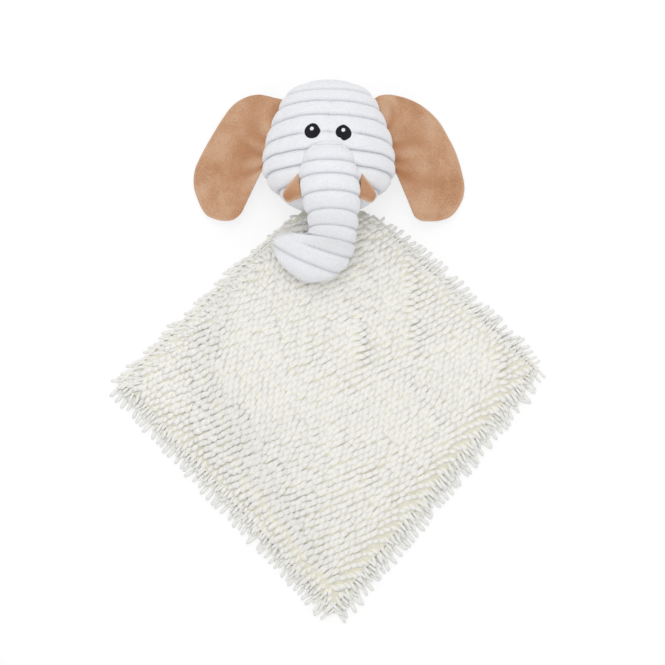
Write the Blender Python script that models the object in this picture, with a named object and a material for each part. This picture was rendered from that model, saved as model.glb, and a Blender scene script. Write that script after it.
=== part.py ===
"""A comfort blanket lovey: a stuffed elephant head with ears, tusks and a trunk, on a square noodle blanket.

The origin is the middle of the blanket's underside. +Z comes out of the front, +Y runs to the crown.
"""

import math

import bmesh
import bpy
import numpy as np
from mathutils import Matrix, Vector
from mathutils.bvhtree import BVHTree

MM = 0.001

# Gaps between pieces
SEAT_GAP = 0.3 * MM
RUNNING_GAP = 0.6 * MM
STUFFING_CLEARANCE = 0.8 * MM
CUT_OVERRUN = 20 * MM
LEAST_CORE_SHARE = 0.33
SHARP_EDGE = math.radians(50)

# Cloths
CORDUROY_THICKNESS = 2.4 * MM
RIB_HEIGHT = 2.2 * MM
SEAM_DIP = 1.2 * MM
PLUSH_THICKNESS = 1.8 * MM

# Head
HEAD_LENGTH = 120 * MM
HEAD_WIDTH = 117 * MM
HEAD_DEPTH = 97 * MM
HEAD_CENTRE_Y = 213 * MM
HEAD_TILT = math.radians(10)
HEAD_PRESSED_FLAT = 1.5 * MM
HEAD_STATION_SHARES = (0, 0.05, 0.1, 0.22, 0.32, 0.44, 0.54, 0.64, 0.72, 0.81, 0.89, 0.96, 1)
HEAD_GIRTH_SHARES = (0.03, 0.5, 0.64, 0.78, 0.87, 0.95, 0.99, 1, 0.98, 0.87, 0.7, 0.45, 0.03)
HEAD_GROOVE_SHARES = (0, 0.065, 0.15, 0.258, 0.37, 0.475, 0.576, 0.683, 0.785, 0.885, 1)
SIDE_SEAM_ANGLE = math.radians(100)
FACE_COLUMN_SHARES = (0, 0.07, 0.28, 0.5, 0.72, 0.93, 1)
BACK_COLUMN_SHARES = (0, 0.05, 0.2, 0.35, 0.5, 0.65, 0.8, 0.95, 1)
RIB_RING_SHARES = ((0, 1), (0.28, 0.12), (0.72, 0.12))
HEAD_FORM_RINGS = 28
HEAD_FORM_SIDES = 36
STUFFING_RINGS = 16
STUFFING_SIDES = 16
HEAD_BACK_SAMPLES = 50

# Neck
NECK_TUCK_RADIUS = 9 * MM
NECK_Y = 164 * MM
NECK_HEIGHT = 16 * MM
NECK_SUBDIVISIONS = 3

# Trunk: rail and height rows are shares of its width, its drop, its front height and its thickness
TRUNK_ROOT_Y = 214 * MM
TRUNK_WIDTH = 52 * MM
TRUNK_DROP = 118 * MM
TRUNK_FRONT_HEIGHT = 112 * MM
TRUNK_THICKNESS = 44 * MM
TRUNK_ROW_SHARES = (
    (-0.21, 0, 0.22, 0, 0.79, 0.18),
    (-0.29, 0.03, 0.29, 0.03, 0.8, 0.29),
    (-0.4, 0.066, 0.39, 0.066, 0.81, 0.37),
    (-0.45, 0.12, 0.45, 0.12, 0.815, 0.43),
    (-0.48, 0.217, 0.51, 0.217, 0.8, 0.48),
    (-0.46, 0.335, 0.53, 0.33, 0.775, 0.5),
    (-0.385, 0.48, 0.505, 0.487, 0.705, 0.5),
    (-0.33, 0.588, 0.48, 0.615, 0.607, 0.48),
    (-0.38, 0.655, 0.42, 0.73, 0.51, 0.47),
    (-0.65, 0.65, 0.36, 0.785, 0.44, 0.455),
    (-0.88, 0.68, 0.285, 0.84, 0.385, 0.45),
    (-0.945, 0.765, 0.15, 0.91, 0.345, 0.43),
    (-0.81, 0.888, -0.05, 0.98, 0.33, 0.34),
    (-0.5, 0.99, -0.4, 1, 0.33, 0.12),
)
TRUNK_GROOVE_ROWS = (0, 1, 3, 4, 5, 6, 7, 8, 9.5, 11, 13)
TRUNK_SIDES = 18
TRUNK_BESIDE_TUSKS_ROWS = 8
TRUNK_HOLLOW_START = 0.7
TRUNK_HOLLOW_END = 11.4
TRUNK_HOLLOW_RINGS = 14
TRUNK_LIFT_Y = 211 * MM

# Tusks: rail and thickness rows are shares of the length, the width and the thickness
TUSK_LENGTH = 14.5 * MM
TUSK_DROOP = 13 * MM
TUSK_WIDTH = 23 * MM
TUSK_THICKNESS = 13 * MM
TUSK_TOP_Y = 188 * MM
TUSK_SUNK_SHARE = 0.2
TUSK_HINGE_SHARE = 0.6
TUSK_ROW_SHARES = (
    (0.12, 0, 0, 0.75, 0.9),
    (0.45, 0.1, 0.15, 0.86, 1),
    (0.74, 0.31, 0.34, 0.95, 0.95),
    (0.93, 0.54, 0.54, 1, 0.78),
    (1, 0.76, 0.74, 0.99, 0.55),
    (0.94, 0.88, 0.84, 0.94, 0.22),
)
TUSK_SIDES = 12

# Ears: the outline is in shares of the span outwards and of the drop from the top of the ear
EAR_SPAN = 81 * MM
EAR_DROP = 114 * MM
EAR_INNER_X = 40 * MM
EAR_TOP_Y = 262.5 * MM
EAR_ROOT_HEIGHT = 44 * MM
EAR_RIM_HEIGHT = 4 * MM
EAR_PLY_THICKNESS = 2.6 * MM
EAR_FOLD_HEIGHT = 2.2 * MM
EAR_FOLDS = 3
EAR_OUTLINE_SHARES = (
    (0, 0.029), (0.143, 0.002), (0.298, 0), (0.496, 0.057), (0.662, 0.177), (0.826, 0.348), (0.959, 0.559),
    (1, 0.715), (0.937, 0.855), (0.783, 0.972), (0.584, 1), (0.446, 0.957), (0.385, 0.817), (0.314, 0.66),
    (0.22, 0.575),
)
EAR_ROWS = 14
EAR_COLUMN_SHARES = (0, 0.12, 0.35, 0.6, 0.82, 0.94, 1)
EAR_THICKNESS_SHARES = (0.08, 0.75, 1, 1, 0.95, 0.75, 0.4)
EAR_EDGE_SHARE = 0.4
EAR_END_SHARE = 0.03
EAR_DRAPE_SHARE = 0.8
EAR_DRAPE_POWER = 1.5
EAR_HINGE_GAP = 0.5 * MM
EAR_HINGE_SAMPLES = 60

# Eyes
EYE_RADIUS = 7 * MM
EYE_SPACING = 27 * MM
EYE_Y = 223.5 * MM
EYE_THICKNESS = 0.9 * MM
EYE_GAP = 0.6 * MM
HIGHLIGHT_RADIUS = 2 * MM
HIGHLIGHT_RAISE_SHARE = 0.3
HIGHLIGHT_THICKNESS = 0.6 * MM
EYE_SIDES = 16
EYE_RINGS = 3
HIGHLIGHT_SIDES = 8
HIGHLIGHT_RINGS = 1

# Blanket: the corners are shares of half its diagonal, left, top, right and bottom
BLANKET_SIDE = 265 * MM
BLANKET_CORNER_SHARES = ((-0.982, 0.025), (0.019, 0.987), (0.973, 0.097), (0.019, -1.049))
BACK_PLY_THICKNESS = 2.5 * MM
FRONT_PLY_THICKNESS = 4 * MM
GATHER_RISE = 11 * MM
GATHER_REACH = 42 * MM
GATHER_FOLD_HEIGHT = 1.6 * MM
GATHER_FOLDS = 7
GATHER_END_Y = 159 * MM
FRONT_NOODLE_ROWS = 11
FRONT_NOODLE_COLUMNS = 12
NOODLE_WIDTH = 8 * MM
NOODLE_LEAN = 12 * MM
NOODLE_HEIGHT = 5 * MM
NOODLE_TIP_SHARE = 0.65
HEM_WIDTH = 7 * MM
HEM_THICKNESS = 6 * MM
HEM_NOODLES = 42
HEM_NOODLE_SHARE = 0.78
HEM_NOODLE_LENGTH = 9.5 * MM
HEM_NOODLE_VARIATION = 2 * MM
HEM_TIP_SHARE = 0.6
HEM_LENGTH_TURN = 2.4
HEM_SWAY_TURN = 1.7

# The head's axis from crown to chin, and the way that the face looks
HEAD_AXIS = Vector((0, -math.cos(HEAD_TILT), math.sin(HEAD_TILT)))
HEAD_FRONT = Vector((0, math.sin(HEAD_TILT), math.cos(HEAD_TILT)))


def smooth_curve(places, values):
    """Returns a function that reads smoothly between the values, which may be numbers or points."""
    places = np.asarray(places, float)
    values = np.asarray(values, float)
    slopes = np.gradient(values, places, axis=0)

    def read(place):
        i = int(np.clip(np.searchsorted(places, place) - 1, 0, len(places) - 2))
        step = places[i + 1] - places[i]
        t = (place - places[i]) / step
        return (
            (2 * t**3 - 3 * t**2 + 1) * values[i]
            + (t**3 - 2 * t**2 + t) * step * slopes[i]
            + (3 * t**2 - 2 * t**3) * values[i + 1]
            + (t**3 - t**2) * step * slopes[i + 1]
        )

    return read


def cloth_material(name, colour, roughness):
    """Makes a matt cloth material."""
    material = bpy.data.materials.new(name)
    material.use_nodes = True
    shader = material.node_tree.nodes["Principled BSDF"]
    shader.inputs["Base Color"].default_value = (*colour, 1)
    shader.inputs["Roughness"].default_value = roughness
    shader.inputs["Metallic"].default_value = 0
    material.diffuse_color = (*colour, 1)
    return material


def add_object(name, points, faces, material=None):
    """Adds a mesh object whose faces point outwards."""
    mesh = bpy.data.meshes.new(name)
    mesh.from_pydata([tuple(point) for point in points], [], faces)
    shape = bmesh.new()
    shape.from_mesh(mesh)
    bmesh.ops.recalc_face_normals(shape, faces=shape.faces)
    shape.to_mesh(mesh)
    shape.free()
    if material is not None:
        mesh.materials.append(material)
    mesh.shade_smooth()
    mesh.set_sharp_from_angle(angle=SHARP_EDGE)
    piece = bpy.data.objects.new(name, mesh)
    bpy.context.scene.collection.objects.link(piece)
    return piece


def add_patch(name, outer, inner, material):
    """Adds one closed piece of cloth between two grids of points, with a wall along its four edges."""
    rows, columns = outer.shape[:2]
    count = rows * columns
    index = np.arange(count).reshape(rows, columns)
    faces = []
    for i in range(rows - 1):
        for j in range(columns - 1):
            quad = (index[i, j], index[i, j + 1], index[i + 1, j + 1], index[i + 1, j])
            faces.append(quad)
            faces.append(tuple(count + k for k in reversed(quad)))
    border = [*index[0, :-1], *index[:-1, -1], *index[-1, :0:-1], *index[:0:-1, 0]]
    for a, b in zip(border, border[1:] + border[:1]):
        faces.append((b, a, count + a, count + b))
    faces = [tuple(int(k) for k in face) for face in faces]
    return add_object(name, np.concatenate([outer.reshape(-1, 3), inner.reshape(-1, 3)]), faces, material)


def add_loft(name, rings, material=None):
    """Adds a solid through closed rings of points, with a fan over each end."""
    rings = np.asarray(rings, float)
    count, sides = rings.shape[:2]
    points = [*rings.reshape(-1, 3), rings[0].mean(axis=0), rings[-1].mean(axis=0)]
    faces = []
    for j in range(sides):
        k = (j + 1) % sides
        for i in range(count - 1):
            faces.append((i * sides + j, i * sides + k, (i + 1) * sides + k, (i + 1) * sides + j))
        faces.append((k, j, count * sides))
        faces.append(((count - 1) * sides + j, (count - 1) * sides + k, count * sides + 1))
    return add_object(name, points, faces, material)


def add_ball(name, centre, radius, material=None):
    """Adds a faceted ball."""
    shape = bmesh.new()
    place = Matrix.Translation(centre)
    bmesh.ops.create_icosphere(shape, subdivisions=NECK_SUBDIVISIONS, radius=radius, matrix=place)
    points = [tuple(vertex.co) for vertex in shape.verts]
    faces = [tuple(vertex.index for vertex in face.verts) for face in shape.faces]
    shape.free()
    return add_object(name, points, faces, material)


def hide_cutter(cutter):
    """Keeps a cutter out of the model."""
    cutter.hide_render = True
    cutter.display_type = "WIRE"
    return cutter


def cut(piece, *cutters):
    """Takes the cutters out of a piece."""
    for cutter in cutters:
        modifier = piece.modifiers.new("Cut by " + cutter.name, "BOOLEAN")
        modifier.operation = "DIFFERENCE"
        modifier.solver = "EXACT"
        modifier.object = cutter


def turn_about(piece, origin):
    """Moves a piece's origin to a point, with its shape left where it is."""
    piece.data.transform(Matrix.Translation(-Vector(origin)))
    piece.location = origin


def joint_frame(name, origin):
    """Adds an empty on a joint's axis, to carry the pieces that turn there."""
    empty = bpy.data.objects.new(name, None)
    empty.location = origin
    bpy.context.scene.collection.objects.link(empty)
    bpy.context.view_layer.update()
    return empty


def carry(parent, *children):
    """Parents pieces to a piece or an empty without moving them."""
    bpy.context.view_layer.update()
    for child in children:
        child.parent = parent
        child.matrix_parent_inverse = parent.matrix_world.inverted()


# Head

girth_squared = smooth_curve(HEAD_STATION_SHARES, np.square(HEAD_GIRTH_SHARES))


def rib_dip(share):
    """How deep the cloth lies under the rib crests, from the share of the rib's height that is missing."""
    return RIB_HEIGHT * share


def head_offset(station, angle, depth):
    """A point under the head's rib crests, measured from the head's centre."""
    girth = math.sqrt(max(girth_squared(station), 0))
    across = girth * (HEAD_WIDTH / 2 - depth) * math.sin(angle)
    outwards = girth * (HEAD_DEPTH / 2 - depth) * math.cos(angle)
    along = (station - 0.5) * (HEAD_LENGTH - 2 * depth)
    return Vector((across, 0, 0)) + HEAD_AXIS * along + HEAD_FRONT * outwards


def head_centre():
    """The head's centre, at the height that leaves its back pressed flat on the surface."""
    stations = [i / HEAD_BACK_SAMPLES for i in range(HEAD_BACK_SAMPLES + 1)]
    lowest = min(head_offset(station, math.pi, 0).z for station in stations)
    return Vector((0, HEAD_CENTRE_Y, -lowest - HEAD_PRESSED_FLAT))


HEAD_CENTRE = head_centre()


def head_point(station, angle, depth, lowest=0):
    """A point under the head's rib crests, never lower than the given height."""
    point = HEAD_CENTRE + head_offset(station, angle, depth)
    point.z = max(point.z, lowest)
    return point


def rib_rings(grooves):
    """The rings that make ribs between grooves: each has a place and the missing share of the rib's height."""
    rings = [
        (start + (end - start) * place, missing)
        for start, end in zip(grooves, grooves[1:])
        for place, missing in RIB_RING_SHARES
    ]
    return [*rings, (grooves[-1], 1)]


def head_panel(name, start, end, column_shares, material):
    """Adds a ribbed head panel between two seams, given by their angles from the front."""
    inner_depth = RIB_HEIGHT + CORDUROY_THICKNESS
    outer, inner = [], []
    for station, missing in rib_rings(HEAD_GROOVE_SHARES):
        radius = math.sqrt(max(girth_squared(station), 0)) * HEAD_WIDTH / 2
        margin = math.asin(min(SEAT_GAP / 2 / radius, 0.5))
        outer_row, inner_row = [], []
        for share in column_shares:
            angle = (start + margin) * (1 - share) + (end - margin) * share
            at_seam = share in (0, 1)
            depth = rib_dip(missing) + (SEAM_DIP if at_seam else 0)
            outer_row.append(head_point(station, angle, depth))
            inner_row.append(head_point(station, angle, inner_depth, CORDUROY_THICKNESS))
        outer.append(outer_row)
        inner.append(inner_row)
    return add_patch(name, np.array(outer), np.array(inner), material)


def head_solid(name, depth, stations, sides, lowest=0, material=None):
    """Adds a plain solid of the head's form under its rib crests."""
    rings = [
        [head_point(i / stations, 2 * math.pi * j / sides, depth, lowest) for j in range(sides)]
        for i in range(stations + 1)
    ]
    return add_loft(name, rings, material)


def surface_of(piece):
    """A piece's surface, to find places on it."""
    return BVHTree.FromPolygons(
        [vertex.co.copy() for vertex in piece.data.vertices],
        [tuple(face.vertices) for face in piece.data.polygons],
    )


def height_on(surface, x, y):
    """The height of a surface's front at a place."""
    start = Vector((x, y, TRUNK_FRONT_HEIGHT + CUT_OVERRUN))
    return surface.ray_cast(start, Vector((0, 0, -1)))[0].z


# Trunk


def trunk_ring(read_row, row, inset, sides=TRUNK_SIDES):
    """A ring of the trunk at a place in its table, as far under its rib crests as the inset says."""
    left_x, left_y, right_x, right_y, height, half = read_row(row)
    left = Vector((left_x * TRUNK_WIDTH, TRUNK_ROOT_Y - left_y * TRUNK_DROP, 0))
    right = Vector((right_x * TRUNK_WIDTH, TRUNK_ROOT_Y - right_y * TRUNK_DROP, 0))
    middle = (left + right) / 2 + Vector((0, 0, height * TRUNK_FRONT_HEIGHT))
    across = (right - left) / 2
    reach = max(across.length - inset, across.length * LEAST_CORE_SHARE)
    rise = max(half * TRUNK_THICKNESS - inset, half * TRUNK_THICKNESS * LEAST_CORE_SHARE)
    return [
        middle
        + across.normalized() * reach * math.cos(2 * math.pi * j / sides)
        + Vector((0, 0, rise * math.sin(2 * math.pi * j / sides)))
        for j in range(sides)
    ]


def trunk_solid(name, inset, rows, material=None):
    """Adds a trunk form through the given rows, each with its missing share of the ribs' height."""
    read_row = smooth_curve(range(len(TRUNK_ROW_SHARES)), TRUNK_ROW_SHARES)
    rings = [trunk_ring(read_row, row, inset + rib_dip(missing)) for row, missing in rows]
    return add_loft(name, rings, material)


def trunk_side(y, side):
    """How far the trunk's edge stands from the middle at a place along it, on the right (1) or left (-1)."""
    column = 0 if side < 0 else 2
    rows = TRUNK_ROW_SHARES[:TRUNK_BESIDE_TUSKS_ROWS]
    places = [row[column + 1] for row in rows]
    edges = [abs(row[column]) for row in rows]
    return float(np.interp((TRUNK_ROOT_Y - y) / TRUNK_DROP, places, edges)) * TRUNK_WIDTH


# Tusks


def tusk_inner_x(side):
    """How far a tusk's root stands from the middle, beside the trunk."""
    edges = [trunk_side(TUSK_TOP_Y - TUSK_WIDTH * share, side) for share in (0, 0.5, 1)]
    return max(edges) + RUNNING_GAP


def tusk_root(side, surface):
    """The middle of a tusk's root, on the cheek beside the trunk."""
    root = Vector((side * tusk_inner_x(side), TUSK_TOP_Y - TUSK_WIDTH / 2, 0))
    root.z = height_on(surface, root.x, root.y)
    return root


def tusk_solid(name, side, surface, inset, rows, material=None):
    """Adds a tusk form that lies on the cheek and points outwards and down."""
    root = tusk_root(side, surface)
    inner = abs(root.x)
    rings = []
    for upper_out, upper_drop, lower_out, lower_drop, half in rows:
        upper = Vector((side * (inner + upper_out * TUSK_LENGTH), TUSK_TOP_Y - upper_drop * TUSK_WIDTH, 0))
        lower = Vector((side * (inner + lower_out * TUSK_LENGTH), TUSK_TOP_Y - lower_drop * TUSK_WIDTH, 0))
        middle = (upper + lower) / 2
        out_share = (upper_out + lower_out) / 2
        middle.z = root.z + TUSK_SUNK_SHARE * TUSK_THICKNESS - TUSK_DROOP * out_share**2
        across = (upper - lower) / 2
        full_rise = half * TUSK_THICKNESS / 2
        reach = max(across.length - inset, across.length * LEAST_CORE_SHARE)
        rise = max(full_rise - inset, full_rise * LEAST_CORE_SHARE)
        turns = [2 * math.pi * j / TUSK_SIDES for j in range(TUSK_SIDES)]
        rings.append(
            [
                middle + across.normalized() * reach * math.cos(turn) + Vector((0, 0, rise * math.sin(turn)))
                for turn in turns
            ]
        )
    return add_loft(name, rings, material)


# Ears


def ear_root_ends():
    """The two ends of the right ear's root before it is set off from the head."""
    first, last = EAR_OUTLINE_SHARES[0], EAR_OUTLINE_SHARES[-1]
    return [
        Vector((EAR_INNER_X + across * EAR_SPAN, EAR_TOP_Y - down * EAR_DROP, EAR_ROOT_HEIGHT))
        for across, down in (first, last)
    ]


def ear_hinge(surface):
    """The two ends of the right ear's hinge line, just clear of the side of the head."""
    top, bottom = ear_root_ends()
    along = (bottom - top).normalized()
    outwards = Vector((-along.y, along.x, 0))
    reach = 0
    for i in range(EAR_HINGE_SAMPLES + 1):
        place = top.lerp(bottom, i / EAR_HINGE_SAMPLES)
        start = place + Vector((EAR_SPAN, 0, 0))
        hit = surface.ray_cast(start, Vector((-1, 0, 0)))[0]
        if hit is not None:
            reach = max(reach, (hit - place).dot(outwards))
    shift = outwards * (reach + EAR_HINGE_GAP)
    return top + shift, bottom + shift


def ear_middle(hinge, side):
    """A function that gives a place midway between an ear's two plies, from its shares along and across."""
    top, bottom = hinge
    shift = top - ear_root_ends()[0]
    rim = [
        Vector((EAR_INNER_X + across * EAR_SPAN, EAR_TOP_Y - down * EAR_DROP, 0)) + Vector((shift.x, shift.y, 0))
        for across, down in EAR_OUTLINE_SHARES
    ]
    steps = [(b - a).length for a, b in zip(rim, rim[1:])]
    places = [sum(steps[:i]) / sum(steps) for i in range(len(rim))]
    read_rim = smooth_curve(places, [(p.x, p.y) for p in rim])
    along = (bottom - top).normalized()
    outwards = Vector((-along.y, along.x, 0))

    def place(share_along, share_across):
        root = top.lerp(bottom, share_along)
        rim_x, rim_y = read_rim(share_along)
        point = root.lerp(Vector((rim_x, rim_y, EAR_ROOT_HEIGHT)), share_across)
        distance = min(max((point - top).dot(outwards) / (EAR_SPAN * EAR_DRAPE_SHARE), 0), 1)
        height = EAR_RIM_HEIGHT + (EAR_ROOT_HEIGHT - EAR_RIM_HEIGHT) * (1 - distance) ** EAR_DRAPE_POWER
        wave = math.sin(2 * math.pi * EAR_FOLDS * share_along) * 4 * share_across * (1 - share_across)
        point.z = max(height + EAR_FOLD_HEIGHT * wave, EAR_RIM_HEIGHT)
        point.x *= side
        return point

    return place


def ear_ply(name, hinge, side, facing, material):
    """Adds one ply of an ear: the front (facing 1) or the back (facing -1)."""
    middle = ear_middle(hinge, side)
    near, far = [], []
    for i in range(EAR_ROWS):
        share_along = EAR_END_SHARE + (1 - 2 * EAR_END_SHARE) * i / (EAR_ROWS - 1)
        near_row, far_row = [], []
        for share_across, thickness in zip(EAR_COLUMN_SHARES, EAR_THICKNESS_SHARES):
            if i in (0, EAR_ROWS - 1):
                thickness = min(thickness, EAR_EDGE_SHARE)
            point = middle(share_along, share_across)
            near_row.append(point + Vector((0, 0, facing * SEAT_GAP / 2)))
            far_row.append(point + Vector((0, 0, facing * (SEAT_GAP / 2 + EAR_PLY_THICKNESS * thickness))))
        near.append(near_row)
        far.append(far_row)
    return add_patch(name, np.array(far), np.array(near), material)


# Eyes


def add_disc(name, surface, x, y, radius, gap, thickness, rings, sides, material):
    """Adds an embroidered disc that follows the surface under it and is thickest in its middle."""
    bottom, top = [], []
    for i in range(rings + 1):
        share = i / rings
        row = []
        for j in range(sides if i else 1):
            turn = 2 * math.pi * j / sides
            spot = Vector((x + radius * share * math.cos(turn), y + radius * share * math.sin(turn), 0))
            spot.z = height_on(surface, spot.x, spot.y) + gap
            row.append(spot)
        bottom.append(row)
        top.append([spot + Vector((0, 0, thickness * (1 - share**2 / 2))) for spot in row])
    points, faces = [], []
    for layer in (bottom, top):
        base = len(points)
        points += [spot for row in layer for spot in row]
        for j in range(sides):
            k = (j + 1) % sides
            faces.append((base, base + 1 + j, base + 1 + k))
            for i in range(rings - 1):
                a, b = base + 1 + i * sides, base + 1 + (i + 1) * sides
                faces.append((a + j, b + j, b + k, a + k))
    count, rim = len(points) // 2, 1 + (rings - 1) * sides
    for j in range(sides):
        k = (j + 1) % sides
        faces.append((rim + j, rim + k, count + rim + k, count + rim + j))
    return add_object(name, points, faces, material)


# Blanket


def blanket_corners():
    """The corners of the laid blanket: left, top, right and bottom."""
    half = BLANKET_SIDE / math.sqrt(2)
    return [Vector((x * half, y * half, 0)) for x, y in BLANKET_CORNER_SHARES]


def front_height(x, y):
    """The height of the front ply's upper side, which rises in folds to the gathered corner."""
    across, down = x, NECK_Y - y
    distance = math.hypot(across, down)
    near = math.exp(-((distance / GATHER_REACH) ** 2))
    fold = math.cos(GATHER_FOLDS * math.atan2(across, down)) * GATHER_FOLD_HEIGHT
    base = BACK_PLY_THICKNESS + SEAT_GAP + FRONT_PLY_THICKNESS
    return base + near * (GATHER_RISE + fold * min(distance / GATHER_REACH, 1))


def front_ply(material):
    """Adds the blanket's front, with its noodles on it in rows that lean away from the neck."""
    left, top, right, bottom = blanket_corners()
    rows, columns = FRONT_NOODLE_ROWS, FRONT_NOODLE_COLUMNS
    shape = bmesh.new()
    grid = []
    for i in range(rows + 1):
        for j in range(columns + 1):
            spot = top.lerp(left, i / rows).lerp(right.lerp(bottom, i / rows), j / columns)
            spot.z = front_height(spot.x, spot.y)
            grid.append(shape.verts.new(spot))
    cells = []
    for i in range(rows):
        for j in range(columns):
            k = i * (columns + 1) + j
            cells.append(shape.faces.new((grid[k], grid[k + columns + 1], grid[k + columns + 2], grid[k + 1])))
    outline = (
        grid[: columns + 1]
        + grid[2 * columns + 1 :: columns + 1]
        + grid[-2 : -columns - 2 : -1]
        + grid[-2 * columns - 2 : 0 : -columns - 1]
    )
    lower = [shape.verts.new((v.co.x, v.co.y, BACK_PLY_THICKNESS + SEAT_GAP)) for v in outline]
    for a, b, c, d in zip(outline, outline[1:] + outline[:1], lower[1:] + lower[:1], lower):
        shape.faces.new((a, b, c, d))
    shape.faces.new(lower)
    margin = (BLANKET_SIDE / columns - NOODLE_WIDTH) / 2
    noodles = [cell for cell in cells if cell.calc_center_median().y < GATHER_END_Y - BLANKET_SIDE / rows]
    shape.normal_update()
    bmesh.ops.inset_individual(shape, faces=noodles, thickness=margin, use_even_offset=True)
    tips = bmesh.ops.extrude_discrete_faces(shape, faces=noodles)["faces"]
    for tip in tips:
        middle = tip.calc_center_median()
        away = Vector((middle.x, middle.y - NECK_Y, 0)).normalized()
        for vertex in tip.verts:
            vertex.co = middle + (vertex.co - middle) * NOODLE_TIP_SHARE + away * NOODLE_LEAN
            vertex.co.z += NOODLE_HEIGHT
    mesh = bpy.data.meshes.new("blanket_front_ply")
    bmesh.ops.recalc_face_normals(shape, faces=shape.faces)
    shape.to_mesh(mesh)
    shape.free()
    mesh.materials.append(material)
    piece = bpy.data.objects.new("blanket_front_ply", mesh)
    bpy.context.scene.collection.objects.link(piece)
    return piece


def back_ply(material):
    """Adds the blanket's plain back, which lies on the surface."""
    corners = blanket_corners()
    upper = [corner + Vector((0, 0, BACK_PLY_THICKNESS)) for corner in corners]
    faces = [(0, 1, 2, 3), (4, 5, 6, 7)] + [(i, (i + 1) % 4, (i + 1) % 4 + 4, i + 4) for i in range(4)]
    return add_object("blanket_back_ply", corners + upper, faces, material)


def set_out(corners, distance):
    """The corners of an outline that lies outside the given one by a distance."""
    moved = []
    for i, corner in enumerate(corners):
        before = (corner - corners[i - 1]).normalized()
        after = (corners[(i + 1) % len(corners)] - corner).normalized()
        normals = [Vector((-way.y, way.x, 0)) for way in (before, after)]
        bisector = (normals[0] + normals[1]).normalized()
        moved.append(corner + bisector * distance / bisector.dot(normals[0]))
    return moved


def hem_strip(name, side, material):
    """Adds the hem along one side of the blanket, with its row of overhanging noodles."""
    inner = set_out(blanket_corners(), SEAT_GAP)
    outer = set_out(blanket_corners(), SEAT_GAP + HEM_WIDTH)
    ends = [inner[side], inner[(side + 1) % 4], outer[(side + 1) % 4], outer[side]]
    along = (ends[2] - ends[3]).normalized()
    outwards = Vector((-along.y, along.x, 0))
    for k, way in ((0, 1), (3, 1), (1, -1), (2, -1)):
        ends[k] = ends[k] + along * way * SEAT_GAP
    for near, far in ((0, 1), (1, 0), (2, 3), (3, 2)):
        if ends[near].y > GATHER_END_Y:
            share = (GATHER_END_Y - ends[far].y) / (ends[near].y - ends[far].y)
            ends[near] = ends[far].lerp(ends[near], share)
    edge = []
    tips = []
    for i in range(HEM_NOODLES):
        start, end = (i + (1 - HEM_NOODLE_SHARE) / 2), (i + (1 + HEM_NOODLE_SHARE) / 2)
        pair = [ends[3].lerp(ends[2], place / HEM_NOODLES) for place in (start, end)]
        edge += pair
        middle, half = (pair[0] + pair[1]) / 2, (pair[1] - pair[0]) / 2
        length = HEM_NOODLE_LENGTH + HEM_NOODLE_VARIATION * math.sin(HEM_LENGTH_TURN * i + side)
        sway = HEM_NOODLE_VARIATION / 2 * math.sin(HEM_SWAY_TURN * i + side)
        reach = middle + outwards * length + along * sway
        tips += [reach - half * HEM_TIP_SHARE, reach + half * HEM_TIP_SHARE]
    outline = [ends[0], ends[3], *edge, ends[2], ends[1]]
    rise = Vector((0, 0, HEM_THICKNESS))
    lift = Vector((0, 0, HEM_THICKNESS * (1 - HEM_TIP_SHARE) / 2))
    points = outline + [spot + rise for spot in outline]
    count = len(outline)
    points += [spot + lift for spot in tips] + [spot + rise - lift for spot in tips]
    faces = [tuple(range(count)), tuple(range(count, 2 * count))]
    roots = {2 + 2 * i for i in range(HEM_NOODLES)}
    for i in range(count):
        k = (i + 1) % count
        if i not in roots:
            faces.append((i, k, count + k, count + i))
            continue
        low, high = 2 * count + i - 2, 2 * count + len(tips) + i - 2
        faces.append((i, k, low + 1, low))
        faces.append((count + i, count + k, high + 1, high))
        faces.append((i, low, high, count + i))
        faces.append((k, low + 1, high + 1, count + k))
        faces.append((low, low + 1, high + 1, high))
    return add_object(name, points, faces, material)


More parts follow.
